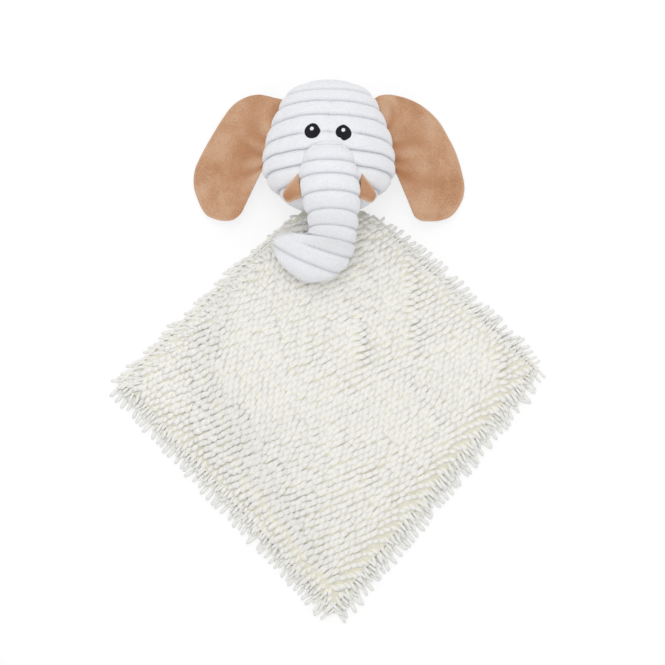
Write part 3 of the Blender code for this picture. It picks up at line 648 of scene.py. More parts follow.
@dataclass
class Head:
    """The stuffed head: three corduroy panels sewn together over their filling.

    Stations run from the crown at 0 to the chin at 1, and angles round the head from the middle of the face.
    """

    length: float = 120 * MM
    width: float = 117 * MM
    depth: float = 97 * MM
    centre: Triple = (0, 213 * MM, 45.2 * MM)
    tilt: float = math.radians(10)
    station_shares: Shares = (0, 0.05, 0.1, 0.22, 0.32, 0.44, 0.54, 0.64, 0.72, 0.81, 0.89, 0.96, 1)
    girth_shares: Shares = (0.004, 0.5, 0.64, 0.78, 0.87, 0.95, 0.99, 1, 0.98, 0.87, 0.7, 0.45, 0.004)
    grooves: Shares = (0, 0.034, 0.114, 0.21, 0.33, 0.475, 0.608, 0.727, 0.855, 1)
    fall_shares: Shares = (0, 0.21, 0.33, 0.475, 0.608, 0.727, 0.86, 1)
    falls: Shares = (0, 0.02, 0.033, 0.033, 0.013, 0.01, 0, 0)
    seam_angle: float = math.radians(100)
    rib_height: float = 3.6 * MM
    rows_per_rib: int = 11
    rib_flatness: Pair = (2.8, 3.4)
    crest_gain: float = 1.25
    cloth: float = 2.2 * MM
    seam_depth: float = 0.25 * MM
    seam_width: float = 1.6 * MM
    mismatch: Pair = (0.006, -0.004)
    mismatch_reach: float = 0.3
    fuzz_grain: float = 2.6 * MM
    fuzz_height: float = 0.3 * MM
    row_wavers: tuple[Triple, Triple] = ((30 * MM, 0.008, 0), (11 * MM, 0.003, 5))
    lump_wavers: tuple[Triple, Triple] = ((27 * MM, 0.9 * MM, 9), (8 * MM, 0.315 * MM, 3))
    most_proud: float = 0.6 * MM
    face_columns: int = 72
    back_columns: int = 84
    eye_places: tuple[Pair, ...] = ((-14.1 * MM, 224 * MM), (12.9 * MM, 222.9 * MM))
    eye_press: float = 8.5 * MM
    press_gain: float = 1.6
    press_depth_share: float = 0.45
    filling_gap: float = 1.2 * MM
    filling_base: float = 0.8 * MM
    filling_lumps: Triple = (7 * MM, 0.6 * MM, 4)
    neck_centre: Triple = (0, 164 * MM, 16 * MM)
    neck_room: float = 11 * MM

    def __post_init__(self) -> None:
        """Works out the head's axes and the reader of its girth."""
        self.axis = np.array((0, -math.cos(self.tilt), math.sin(self.tilt)))
        self.front = np.array((0, math.sin(self.tilt), math.cos(self.tilt)))
        self.girth_squared = smooth_curve(self.station_shares, np.square(self.girth_shares))

    def place(self, station: Any, angle: Any, sink: Any, lowest: float = 0) -> np.ndarray:
        """Points on the head.

        Args:
            station: Stations from crown to chin.
            angle: Angles round the head.
            sink: Depths under the crests of the ribs.
            lowest: The least height above the surface that the toy lies on.

        Returns:
            The points, with three numbers each.
        """
        girth = np.sqrt(np.maximum(self.girth_squared(station), 0))
        across = girth * (self.width / 2 - sink) * np.sin(angle)
        outwards = girth * (self.depth / 2 - sink) * np.cos(angle)
        along = (station - 0.5) * (self.length - 2 * sink)
        points = np.array(self.centre) + along[..., None] * self.axis + outwards[..., None] * self.front
        points[..., 0] += across
        points[..., 2] = np.maximum(points[..., 2], lowest)
        return points

    def rest_on(self, points: np.ndarray, gap: float) -> np.ndarray:
        """Moves points that lie inside the head straight out of its front.

        Args:
            points: Places in metres.
            gap: How far clear of the head they stop.

        Returns:
            The moved points.
        """
        beside = points - np.array(self.centre)
        station = np.clip(beside @ self.axis / self.length + 0.5, 0, 1)
        across = beside[..., 0] / (self.width / 2 + gap)
        outwards = beside @ self.front / (self.depth / 2 + gap)
        room = self.girth_squared(station) - across**2
        limit = np.sqrt(np.maximum(room, 0))
        inside = (room > 0) & (outwards < limit) & (station > 0) & (station < 1)
        shift = np.where(inside, (limit - outwards) * (self.depth / 2 + gap), 0)
        return points + shift[..., None] * self.front

    def front_at(self, x: float, y: float) -> float:
        """The height of the head's front, over the crests of its ribs, at a place seen from above."""
        low, high = self.centre[2], self.centre[2] + self.depth
        for _ in range(30):
            middle = (low + high) / 2
            point = np.array([[x, y, middle]])
            inside = np.abs(self.rest_on(point, 0) - point).max() > 0
            low, high = (middle, high) if inside else (low, middle)
        return low

    def ribs(self, grooves: Sequence[float], rows_per_rib: int) -> tuple[np.ndarray, np.ndarray]:
        """The rows of points over some ribs, close together near the grooves.

        Args:
            grooves: Where the grooves are.
            rows_per_rib: How many rows each rib has.

        Returns:
            Where each row is, and the share of the rib's height that it lacks.
        """
        steps = 0.5 - 0.5 * np.cos(np.pi * np.arange(rows_per_rib) / rows_per_rib)
        places = [start + (end - start) * steps for start, end in zip(grooves, grooves[1:])]
        away = np.abs(2 * steps - 1)
        bulge, pinch = (away**power for power in self.rib_flatness)
        lack = 0.5 * (1 - (1 - bulge) ** 0.5) + 0.5 * pinch
        return np.append(np.concatenate(places), grooves[-1]), np.append(np.tile(lack, len(places)), 1)

    def crests(self, lack: np.ndarray) -> np.ndarray:
        """The mark of the ribs' crests, 0 in the grooves."""
        return np.clip((1 - lack) * self.crest_gain, 0, 1)

    def panel(self, name: str, start: float, end: float, columns: int, cloth: Cloth, seed: int) -> Piece:
        """Sews one ribbed panel between two seams.

        Args:
            name: The piece's name.
            start: The angle of its first seam.
            end: The angle of its other seam.
            columns: How many points it has round the head.
            cloth: The corduroy.
            seed: Makes its ribs waver unlike those of the other panels.

        Returns:
            The panel.
        """
        rows, lack = self.ribs(self.grooves, self.rows_per_rib)
        share = 0.5 - 0.5 * np.cos(np.pi * np.arange(columns) / (columns - 1))
        share = 0.5 * share + 0.5 * np.linspace(0, 1, columns)
        station, across = np.meshgrid(rows, share, indexing="ij")
        angle = start + (end - start) * across
        lack = np.repeat(lack[:, None], columns, axis=1)
        within = np.sin(np.pi * station)
        station = station + smooth_curve(self.fall_shares, self.falls)(station) * (1 - np.cos(angle))
        plain = self.place(station, angle, np.zeros_like(station))
        shift = waver(plain, *((grain, height, seed + more) for grain, height, more in self.row_wavers))
        middle = 0 if start == 0 else FULL_TURN
        shift += self.mismatch[seed != 1] * hump(angle, middle, self.mismatch_reach) * within
        station = np.clip(station + shift * within, 0, 1)
        press = sum(hump(np.hypot(plain[..., 0] - x, plain[..., 1] - y), 0, self.eye_press) for x, y in self.eye_places)
        press = np.clip(press * self.press_gain, 0, 1) * (plain[..., 2] > self.centre[2])
        sink = self.rib_height * lack * (1 - press) + self.press_depth_share * self.rib_height * press
        lumps = [*self.lump_wavers, (self.fuzz_grain, self.fuzz_height, 1)]
        sink -= waver(plain, *((grain, height, seed + more) for grain, height, more in lumps)) * within
        radius = np.sqrt(np.maximum(self.girth_squared(station), 0)) * self.width / 2
        to_seam = np.minimum(np.abs(angle - start), np.abs(end - angle)) * radius
        sink += self.seam_depth * hump(to_seam, 0, self.seam_width) * within
        outer = self.place(station, angle, np.maximum(sink, -self.most_proud))
        inner = self.place(station, angle, np.full_like(station, self.rib_height + self.cloth), self.cloth)
        return add_shell(name, outer, inner, cloth, {"rib": self.crests(lack) * (1 - press) + press})

    def filling(self, cloth: Cloth) -> Piece:
        """Stuffs the head."""
        station, angle = np.meshgrid(np.linspace(0.01, 0.99, 24), rounds(32), indexing="ij")
        sink = np.full_like(station, self.rib_height + self.cloth + self.filling_gap)
        lowest = self.cloth + self.filling_base
        sink += self.filling_lumps[1] + waver(self.place(station, angle, sink, lowest), self.filling_lumps)
        points = self.place(station, angle, sink, lowest)
        away = points - np.array(self.neck_centre)
        distance = np.linalg.norm(away, axis=-1, keepdims=True)
        points = points + away * (np.maximum(self.neck_room / distance, 1) - 1)
        return add_tube("head_filling", points, cloth)

    def build(self, corduroy: Cloth, filling: Cloth) -> list[Piece]:
        """Makes the head's pieces and seats them.

        Args:
            corduroy: The finish of the panels.
            filling: The finish of the stuffing.

        Returns:
            The two face panels and the back panel.
        """
        seam, full = self.seam_angle, 0.9
        right = self.panel("face_right", 0, seam, self.face_columns, corduroy, 1)
        left = self.panel("face_left", FULL_TURN - seam, FULL_TURN, self.face_columns, corduroy, 2)
        back = self.panel("head_back", seam, FULL_TURN - seam, self.back_columns, corduroy, 3)
        seat(right, "head", "face_panel_right")
        seat(left, "head", "face_panel_left")
        seat(back, "head", "head_back_panel")
        seat(self.filling(filling), "head", "head_stuffing")
        return [right, left, back]


# Eyes


@dataclass
class Eye:
    """One embroidered eye: a dark disc of satin stitches with a white highlight on it.

    The profile gives a disc's rings from its underside to its middle, in shares of its radius and of its rise.
    """

    side: Side
    x: float
    y: float
    outline: Shares
    highlight_shift: Pair
    radius: float = 6.7 * MM
    rise: float = 0.9 * MM
    highlight_radius: float = 1.65 * MM
    highlight_rise: float = 0.35 * MM
    highlight_outline: Shares = (1, 1.05, 1, 0.95, 1, 1.08, 1, 0.96)
    profile: tuple[Pair, ...] = (
        ((0.03, -0.5), (0.6, -0.5), (0.97, -0.5), (1, 0), (0.985, 0.3), (0.94, 0.55))
        + ((0.85, 0.72), (0.7, 0.85), (0.5, 0.94), (0.25, 0.99), (0.03, 1))
    )
    sides: int = 48

    def disc(self, name: str, surface: BVHTree, middle: Pair, size: Pair, outline: Shares, cloth: Cloth) -> Piece:
        """Stitches a domed disc that follows the cloth under it.

        Args:
            name: The piece's name.
            surface: What it is stitched on.
            middle: Its middle.
            size: Its mean radius, and how far its middle stands proud.
            outline: Its radius round it, in shares of the mean.
            cloth: The thread.

        Returns:
            The disc.
        """
        (x, y), (radius, rise) = middle, size
        turns = rounds(self.sides)
        read = smooth_curve(range(len(outline) + 1), [*outline, outline[0]])
        reach = radius * read(turns / FULL_TURN * len(outline))
        rings = []
        for share, height in self.profile:
            spots = [(x + r * share * math.cos(t), y + r * share * math.sin(t)) for r, t in zip(reach, turns)]
            rings.append([(u, v, height_on(surface, u, v) + height * rise) for u, v in spots])
        return add_tube(name, np.array(rings), cloth)

    def build(self, panels: list[Piece], black: Cloth, white: Cloth) -> None:
        """Makes and seats the eye.

        Args:
            panels: The face panels that it is stitched on.
            black: The dark thread.
            white: The white thread.
        """
        word, middle, size = self.side.word, (self.x, self.y), (self.radius, self.rise)
        eye = self.disc(f"stitched_eye_{word}", surface_of(*panels), middle, size, self.outline, black)
        middle = (self.x + self.highlight_shift[0], self.y + self.highlight_shift[1])
        size = (self.highlight_radius, self.highlight_rise)
        spot = self.disc(f"stitched_highlight_{word}", surface_of(eye), middle, size, self.highlight_outline, white)
        seat(eye, "head", f"eye_{word}")
        seat(spot, "head", f"eye_highlight_{word}")


# Trunk


@dataclass
class Trunk:
    """The stuffed corduroy trunk, which runs down over the blanket and curls to the viewer's left.

    Each row of its table gives its two edges, in shares of its width and of its drop, the height of its middle
    in shares of its front height, and half its thickness in shares of its thickness. The arcs say how much
    further down each row lies at its edges than in its middle.
    """

    root_y: float = 214 * MM
    width: float = 52 * MM
    drop: float = 118 * MM
    front_height: float = 112 * MM
    thickness: float = 44 * MM
    rows: tuple[Shares, ...] = (
        (-0.26, 0.012, 0.27, 0.012, 0.79, 0.2),
        (-0.29, 0.03, 0.29, 0.03, 0.8, 0.29),
        (-0.4, 0.066, 0.39, 0.066, 0.81, 0.37),
        (-0.46, 0.134, 0.45, 0.134, 0.815, 0.43),
        (-0.49, 0.232, 0.51, 0.232, 0.8, 0.48),
        (-0.46, 0.357, 0.53, 0.353, 0.775, 0.5),
        (-0.385, 0.48, 0.505, 0.487, 0.705, 0.5),
        (-0.33, 0.588, 0.48, 0.615, 0.607, 0.48),
        (-0.38, 0.655, 0.45, 0.73, 0.51, 0.47),
        (-0.65, 0.65, 0.42, 0.79, 0.44, 0.455),
        (-0.9, 0.685, 0.37, 0.855, 0.385, 0.45),
        (-0.975, 0.77, 0.25, 0.935, 0.345, 0.43),
        (-0.83, 0.895, 0.06, 1.0, 0.33, 0.34),
        (-0.48, 1.01, -0.3, 1.025, 0.33, 0.12),
    )
    arcs: Shares = tuple(a * MM for a in (1.5, 2, 2.5, 3, 4.5, 5.5, 5, 3, 0.5, -1, -2.5, -3.5, -2, 0))
    left_grooves: Shares = (0, 3, 4, 5, 6, 7, 8, 9.7, 10.9, 13)
    right_grooves: Shares = (0, 3, 4, 5, 6, 7, 8, 10, 11.5, 13)
    short_groove: int = 7
    short_reach: Pair = (0.2, 0.5)
    rib_height: float = 2.7 * MM
    rows_per_rib: int = 12
    sides: int = 112
    row_waver: Triple = (22 * MM, 0.05, 7)
    lump_wavers: tuple[Triple, Triple] = ((18 * MM, 0.8 * MM, 3), (6 * MM, 0.25 * MM, 8))
    cover_gap: float = 0.3 * MM
    cloth: float = 2.4 * MM
    filling_rows: Pair = (1.6, 11.4)
    filling_gap: float = 1.2 * MM
    filling_room: float = 3 * MM
    bend: tuple[Triple, Triple] = ((0, 213 * MM, 95 * MM), (0, 188 * MM, 95 * MM))

    def __post_init__(self) -> None:
        """Makes the readers of its tables."""
        self.read_row = smooth_curve(range(len(self.rows)), self.rows)
        self.read_arc = smooth_curve(range(len(self.arcs)), self.arcs)

    def ring(self, row: Any, sink: Any, sides: int) -> np.ndarray:
        """A ring of points round the trunk.

        Args:
            row: Where in the table it lies.
            sink: How deep each point is under the crests of the ribs.
            sides: How many points it has.

        Returns:
            The points.
        """
        turns = rounds(sides)
        row = np.broadcast_to(row, turns.shape)
        left_x, left_y, right_x, right_y, height, half = self.read_row(row).T
        left = level(np.stack([left_x * self.width, self.root_y - left_y * self.drop], axis=1))
        right = level(np.stack([right_x * self.width, self.root_y - right_y * self.drop], axis=1))
        span = np.linalg.norm(right - left, axis=1) / 2
        way = (right - left) / (2 * span[:, None])
        down = level(np.stack([way[:, 1], -way[:, 0]], axis=1))
        arc = self.read_arc(row) * (1 - np.abs(np.sin(turns)))
        reach = np.maximum(span - sink, span * LEAST_CORE_SHARE)
        rise = np.maximum(half * self.thickness - sink, half * self.thickness * LEAST_CORE_SHARE)
        points = (left + right) / 2 + (reach * np.cos(turns))[:, None] * way + arc[:, None] * down
        points[:, 2] += height * self.front_height + rise * np.sin(turns)
        return points

    def cover(self, head: Head, cloth: Cloth) -> Piece:
        """Sews the trunk's cover, which rests on the face.

        Args:
            head: The head that carries it.
            cloth: The corduroy.

        Returns:
            The cover.
        """
        left, lack = head.ribs(self.left_grooves, self.rows_per_rib)
        right, _ = head.ribs(self.right_grooves, self.rows_per_rib)
        share = 0.5 + 0.5 * np.cos(rounds(self.sides))
        places = left[:, None] * (1 - share) + right[:, None] * share
        near = np.abs(np.arange(len(left)) - self.short_groove * self.rows_per_rib) < self.rows_per_rib / 2
        lack = lack[:, None] * np.where(near[:, None], fade(share, *self.short_reach), 1)
        rough = np.array([self.ring(place, 0, self.sides) for place in places])
        shift = waver(rough, self.row_waver)
        lumps = waver(rough, *self.lump_wavers, (head.fuzz_grain, head.fuzz_height, 2))
        lumps[[0, -1]] = 0
        rings = []
        for i, place in enumerate(places):
            at = np.clip(place + shift[i].mean(), 0, len(self.rows) - 1)
            rings.append(self.ring(at, self.rib_height * lack[i] - lumps[i], self.sides))
        return add_tube("trunk", head.rest_on(np.array(rings), self.cover_gap), cloth, {"rib": head.crests(lack)})

    def build(self, head: Head, corduroy: Cloth, filling: Cloth) -> None:
        """Makes and seats the trunk.

        Args:
            head: The head that carries it.
            corduroy: The finish of the cover.
            filling: The finish of the stuffing.
        """
        cover = self.cover(head, corduroy)
        inset = head.rib_height + self.cloth + self.filling_gap
        rings = np.array([self.ring(place, inset, 24) for place in np.linspace(*self.filling_rows, 18)])
        core = add_tube("trunk_filling", head.rest_on(rings, self.filling_room), filling)
        seat(cover, "trunk", "trunk_cover", Bend("head", *self.bend))
        seat(core, "trunk", "trunk_stuffing")


# Tusks


@dataclass
class Tusk:
    """One small padded tusk of tan plush beside the trunk.

    Each row of its table gives its upper edge and its lower edge, outwards in shares of its length and down in
    shares of its width, and half its thickness in shares of half its thickness.
    """

    side: Side
    inner_x: float
    length: float
    width: float = 23 * MM
    thickness: float = 13 * MM
    top_y: float = 186.4 * MM
    sunk_share: float = 0.2
    droop: float = 13 * MM
    rows: tuple[Shares, ...] = (
        (0.15, 0, 0, 0.85, 0.9),
        (0.38, 0.16, 0.22, 0.9, 1),
        (0.62, 0.34, 0.42, 0.95, 0.95),
        (0.85, 0.52, 0.62, 1, 0.8),
        (0.98, 0.68, 0.8, 0.97, 0.58),
        (1, 0.79, 0.92, 0.89, 0.24),
    )
    rings: int = 30
    sides: int = 40
    welt: float = 0.5 * MM
    welt_share: float = 0.05
    rim_share: float = 0.22
    lens_power: float = 1.25
    # How much shade is painted over the tusk away from its seam.
    shade: float = 0.45
    plush: float = 2.4 * MM
    cover_gap: float = 0.2 * MM
    filling_room: float = 1.2 * MM

    def form(self, head: Head, inset: float, rings: int, sides: int) -> tuple[np.ndarray, np.ndarray]:
        """The tusk's form, lying on the cheek.

        Args:
            head: The head that carries it.
            inset: How far inside its surface the form lies.
            rings: How many rings it has.
            sides: How many points a ring has.

        Returns:
            The rings, and how near its seam each point is, from 0 to 1.
        """
        read = smooth_curve(range(len(self.rows)), self.rows)
        sign = self.side.value
        root = head.front_at(sign * self.inner_x, self.top_y - self.width / 2)
        turns = rounds(sides)
        from_seam = np.abs(np.cos(turns)) - 1
        lens = np.sign(np.sin(turns)) * np.abs(np.sin(turns)) ** self.lens_power
        result = []
        for place in np.linspace(0, len(self.rows) - 1, rings):
            upper_out, upper_drop, lower_out, lower_drop, half = read(place)
            upper = np.array((sign * (self.inner_x + upper_out * self.length), self.top_y - upper_drop * self.width, 0))
            lower = np.array((sign * (self.inner_x + lower_out * self.length), self.top_y - lower_drop * self.width, 0))
            middle = (upper + lower) / 2
            out = (upper_out + lower_out) / 2
            middle[2] = root + self.sunk_share * self.thickness - self.droop * out**2
            across = (upper - lower) / 2
            span = np.linalg.norm(across)
            reach = max(span - inset, span * LEAST_CORE_SHARE) + self.welt * hump(from_seam, 0, self.welt_share)
            rise = max(half * self.thickness / 2 - inset, half * self.thickness / 6)
            ring = middle + (reach * np.cos(turns))[:, None] * across / span
            ring[:, 2] += rise * lens
            result.append(ring)
        return np.array(result), np.tile(hump(from_seam, 0, self.rim_share), (rings, 1))

    def build(self, head: Head, plush: Cloth, filling: Cloth) -> None:
        """Makes and seats the tusk.

        Args:
            head: The head that carries it.
            plush: The finish of the cover.
            filling: The finish of the stuffing.
        """
        word = self.side.word
        rings, rim = self.form(head, 0, self.rings, self.sides)
        rings[..., 2] += waver(rings, (6 * MM, 0.5 * MM, self.side.value))
        # Painted highlight along the seam welt, and painted shade over the rest of the tusk.
        marks = {"rub": rim, "tuck": self.shade * (1 - rim)}
        cover = add_tube(f"tusk_{word}", head.rest_on(rings, self.cover_gap), plush, marks)
        core = self.form(head, self.plush, 12, 16)[0][1:-1]
        stuffing = add_tube(f"tusk_filling_{word}", head.rest_on(core, self.filling_room), filling)
        seat(cover, f"tusk_{word}", f"tusk_cover_{word}")
        seat(stuffing, f"tusk_{word}", f"tusk_stuffing_{word}")


# Ears


@dataclass(frozen=True)
class Crease:
    """A crease in an ear: where it leaves the root, how far it runs to the rim, its width, depth and slant."""

    along: float
    reach: float
    width: float
    depth: float
    slant: float


@dataclass
class Ear:
    """One floppy ear of two plies sewn together round the rim, tan in front and white behind.

    Shares along run down the root and shares across run from the root to the rim. The rim is a list of points in
    millimetres, outwards from the middle of the toy and up the toy, from the top of the root to its bottom.
    """

    side: Side
    rim: tuple[Pair, ...]
    creases: tuple[Crease, ...]
    head: Head
    root_stations: Pair = (0.1, 0.68)
    root_angle: float = math.radians(97)
    root_sink: float = 3 * MM
    hinge: Triple = (52.78 * MM, 229.18 * MM, 44 * MM)
    hinge_out: Pair = (0.961377, -0.275235)
    bend: Pair = (4 * MM, 14 * MM)
    root_height: float = 44 * MM
    rim_height: float = 4 * MM
    drape: float = 0.8
    drape_power: float = 1.5
    span: float = 81 * MM
    puff: float = 3.4 * MM
    back_show: float = 2.4 * MM
    edge_show: float = 0.3 * MM
    lowest: float = 0.6 * MM
    least_thickness: float = 0.8 * MM
    ply_gap: float = 0.05 * MM
    soft_wavers: tuple[Triple, Triple] = ((26 * MM, 1.7 * MM, 3), (10 * MM, 0.35 * MM, 6))
    fine_waver: Triple = (5 * MM, 0.12 * MM, 9)
    stitch_across: float = 0.955
    stitch_depth: float = 0.3 * MM
    rows: int = 96
    columns: int = 60

    def __post_init__(self) -> None:
        """Lays out the grid of its shares, and how far in from its two ends each row lies, from 0 to 1."""
        share = np.linspace(0, 1, self.rows)
        columns = np.linspace(0, 1, self.columns) ** 0.9
        self.along, self.across = np.meshgrid(0.03 + 0.94 * share, columns, indexing="ij")
        self.inward = np.minimum(fade(share, 0, 0.09), fade(1 - share, 0, 0.09))[:, None]

    def root(self, along: np.ndarray) -> np.ndarray:
        """Places on the right side of the head where an ear is sewn in, under its widest part."""
        station = self.root_stations[0] + (self.root_stations[1] - self.root_stations[0]) * along
        return self.head.place(station, np.full_like(along, self.root_angle), self.root_sink)

    def middle(self, grow: np.ndarray) -> np.ndarray:
        """Places midway between the two plies.

        Args:
            grow: How far each place is moved on beyond its share across, in metres.

        Returns:
            The places.
        """
        rim = np.array(self.rim) * MM
        steps = np.linalg.norm(np.diff(rim, axis=0), axis=1)
        read = smooth_curve(np.append(0, np.cumsum(steps)) / steps.sum(), rim)
        sewn = self.root(self.along)
        start = sewn[..., :2]
        way = read(self.along) - start
        flat = start + way * (self.across + grow / np.linalg.norm(way, axis=-1))[..., None]
        top, bottom = self.root(np.array((0.0, 1.0)))[:, :2]
        down = unit(bottom - top)
        normal = np.array((-down[1], down[0]))
        beyond = (flat - top) @ normal - (start - top) @ normal * (1 - self.across) ** 2
        distance = np.clip(beyond / (self.span * self.drape), 0, 1)
        high = sewn[..., 2] + (self.root_height - sewn[..., 2]) * 0.5 * fade(distance, 0, 0.15)
        height = self.rim_height + (high - self.rim_height) * (1 - distance) ** self.drape_power
        return np.concatenate([self.side.value * flat[..., :1], flat[..., 1:], height[..., None]], axis=-1)

    def beside_hinge(self, distance: float) -> Triple:
        """A place level with the ear's hinge, at a distance outwards from it."""
        x, y = (self.hinge[k] + self.hinge_out[k] * distance for k in (0, 1))
        return self.side.value * x, y, self.hinge[2]

    def folds(self) -> tuple[np.ndarray, np.ndarray]:
        """How far the creases lift each place, and how much shade is painted on it in the creases' valleys, from 0 to
        1.
        """
        fold, tuck = np.zeros_like(self.along), np.zeros_like(self.along)
        for crease in self.creases:
            line = crease.along + crease.slant * self.across - 0.03 * np.sin(self.across * 5)
            deep = hump(self.along, line, crease.width * (0.35 + self.across))
            deep = deep * (1 - fade(self.across, 0.3 * crease.reach, crease.reach))
            fold = fold - crease.depth * deep
            # Painted shade in the valleys of the creases.
            tuck = np.maximum(tuck, deep * (crease.depth > 0) * 0.85)
        return fold, tuck

    def plies(self) -> tuple[np.ndarray, np.ndarray, np.ndarray]:
        """The ear's front and back, and how much shade is painted on each place: in the creases, along the stitch line
        and at the root.
        """
        middle = self.middle(np.zeros_like(self.along))
        filled = np.sqrt(np.clip(1 - self.across**5, 0, 1)) * 0.93 + 0.07
        body = self.puff * (self.inward * 0.9 + 0.1) * filled * (fade(self.across, -0.1, 0.3) * 0.75 + 0.25)
        fold, tuck = self.folds()
        within = self.inward * (1 - fade(self.across, 0.86, 1))
        (grain, height, seed), small = self.soft_wavers
        fold = fold + waver(middle, (grain, height, seed + self.side.value), small) * within
        fine = waver(middle, self.fine_waver) * within
        front, back = middle.copy(), middle.copy()
        front[..., 2] += body + fold + fine - self.stitch_depth * hump(self.across, self.stitch_across, 0.014)
        back[..., 2] += np.maximum(-body * 0.8 + fold * 0.7, -0.9 * body - 0.4 * MM)
        back[..., 2] = np.maximum(back[..., 2], self.lowest)
        front[..., 2] = np.maximum(front[..., 2], back[..., 2] + self.least_thickness)
        # Painted shade along the stitch groove, and at the root where the ear meets the head.
        stitch_shade = 0.15 * hump(self.across, self.stitch_across, 0.012) * self.inward
        return front, back, np.clip(tuck + stitch_shade + 0.5 * hump(self.across, 0, 0.05), 0, 1)

    def build(self, tan: Cloth, white: Cloth) -> None:
        """Makes and seats the ear.

        Args:
            tan: The finish of the front.
            white: The finish of the back.
        """
        front, back, tuck = self.plies()
        top = front * 0.4 + back * 0.6
        behind = top + np.array((0, 0, self.ply_gap))
        lower = fade(self.along, 0.8, 0.88) * (1 - fade(self.along, 0.955, 0.985))
        wide = self.middle((self.edge_show + self.back_show * lower) * self.across**3)
        top[..., :2] = wide[..., :2]
        word = self.side.word
        # Painted shade in the creases, and a painted highlight along the rim where it catches the light.
        marks = {"tuck": tuck, "rub": 0.6 * hump(self.across, 1, 0.03)}
        cover = add_shell(f"ear_{word}_front", front, behind, tan, marks)
        top[..., 2] -= self.ply_gap
        lining = add_shell(f"ear_{word}_back", back, top, white, {"tuck": tuck * 0})
        bend = Bend("head", *(self.beside_hinge(distance) for distance in self.bend))
        seat(cover, f"ear_{word}", f"ear_front_{word}", bend)
        seat(lining, f"ear_{word}", f"ear_back_{word}", bend)


# Neck


@dataclass
class Neck:
    """The gathered corner of the blanket, bunched and stitched in the neck opening."""

    centre: Triple = (0, 164 * MM, 16 * MM)
    radius: float = 8.8 * MM
    pleats: int = 11
    pleat_depth: float = 0.9 * MM
    rings: int = 28
    sides: int = 88
    first_ring: float = 0.02

    def build(self, backing: Cloth) -> None:
        """Makes and seats the bunch.

        Args:
            backing: The finish of its cloth.
        """
        rises = np.linspace(self.first_ring, math.pi - self.first_ring, self.rings)
        rise, turn = np.meshgrid(rises, rounds(self.sides), indexing="ij")
        pleat = 0.5 + 0.5 * np.cos(self.pleats * turn + 2 * np.sin(rise * 2))
        reach = self.radius - self.pleat_depth * pleat * np.sin(rise)
        way = np.stack([np.cos(turn) * np.sin(rise), np.cos(rise), np.sin(turn) * np.sin(rise)], axis=-1)
        bunch = add_tube("neck_gather", np.array(self.centre) + reach[..., None] * way, backing)
        seat(bunch, "neck", "neck_tuck")


# Blanket


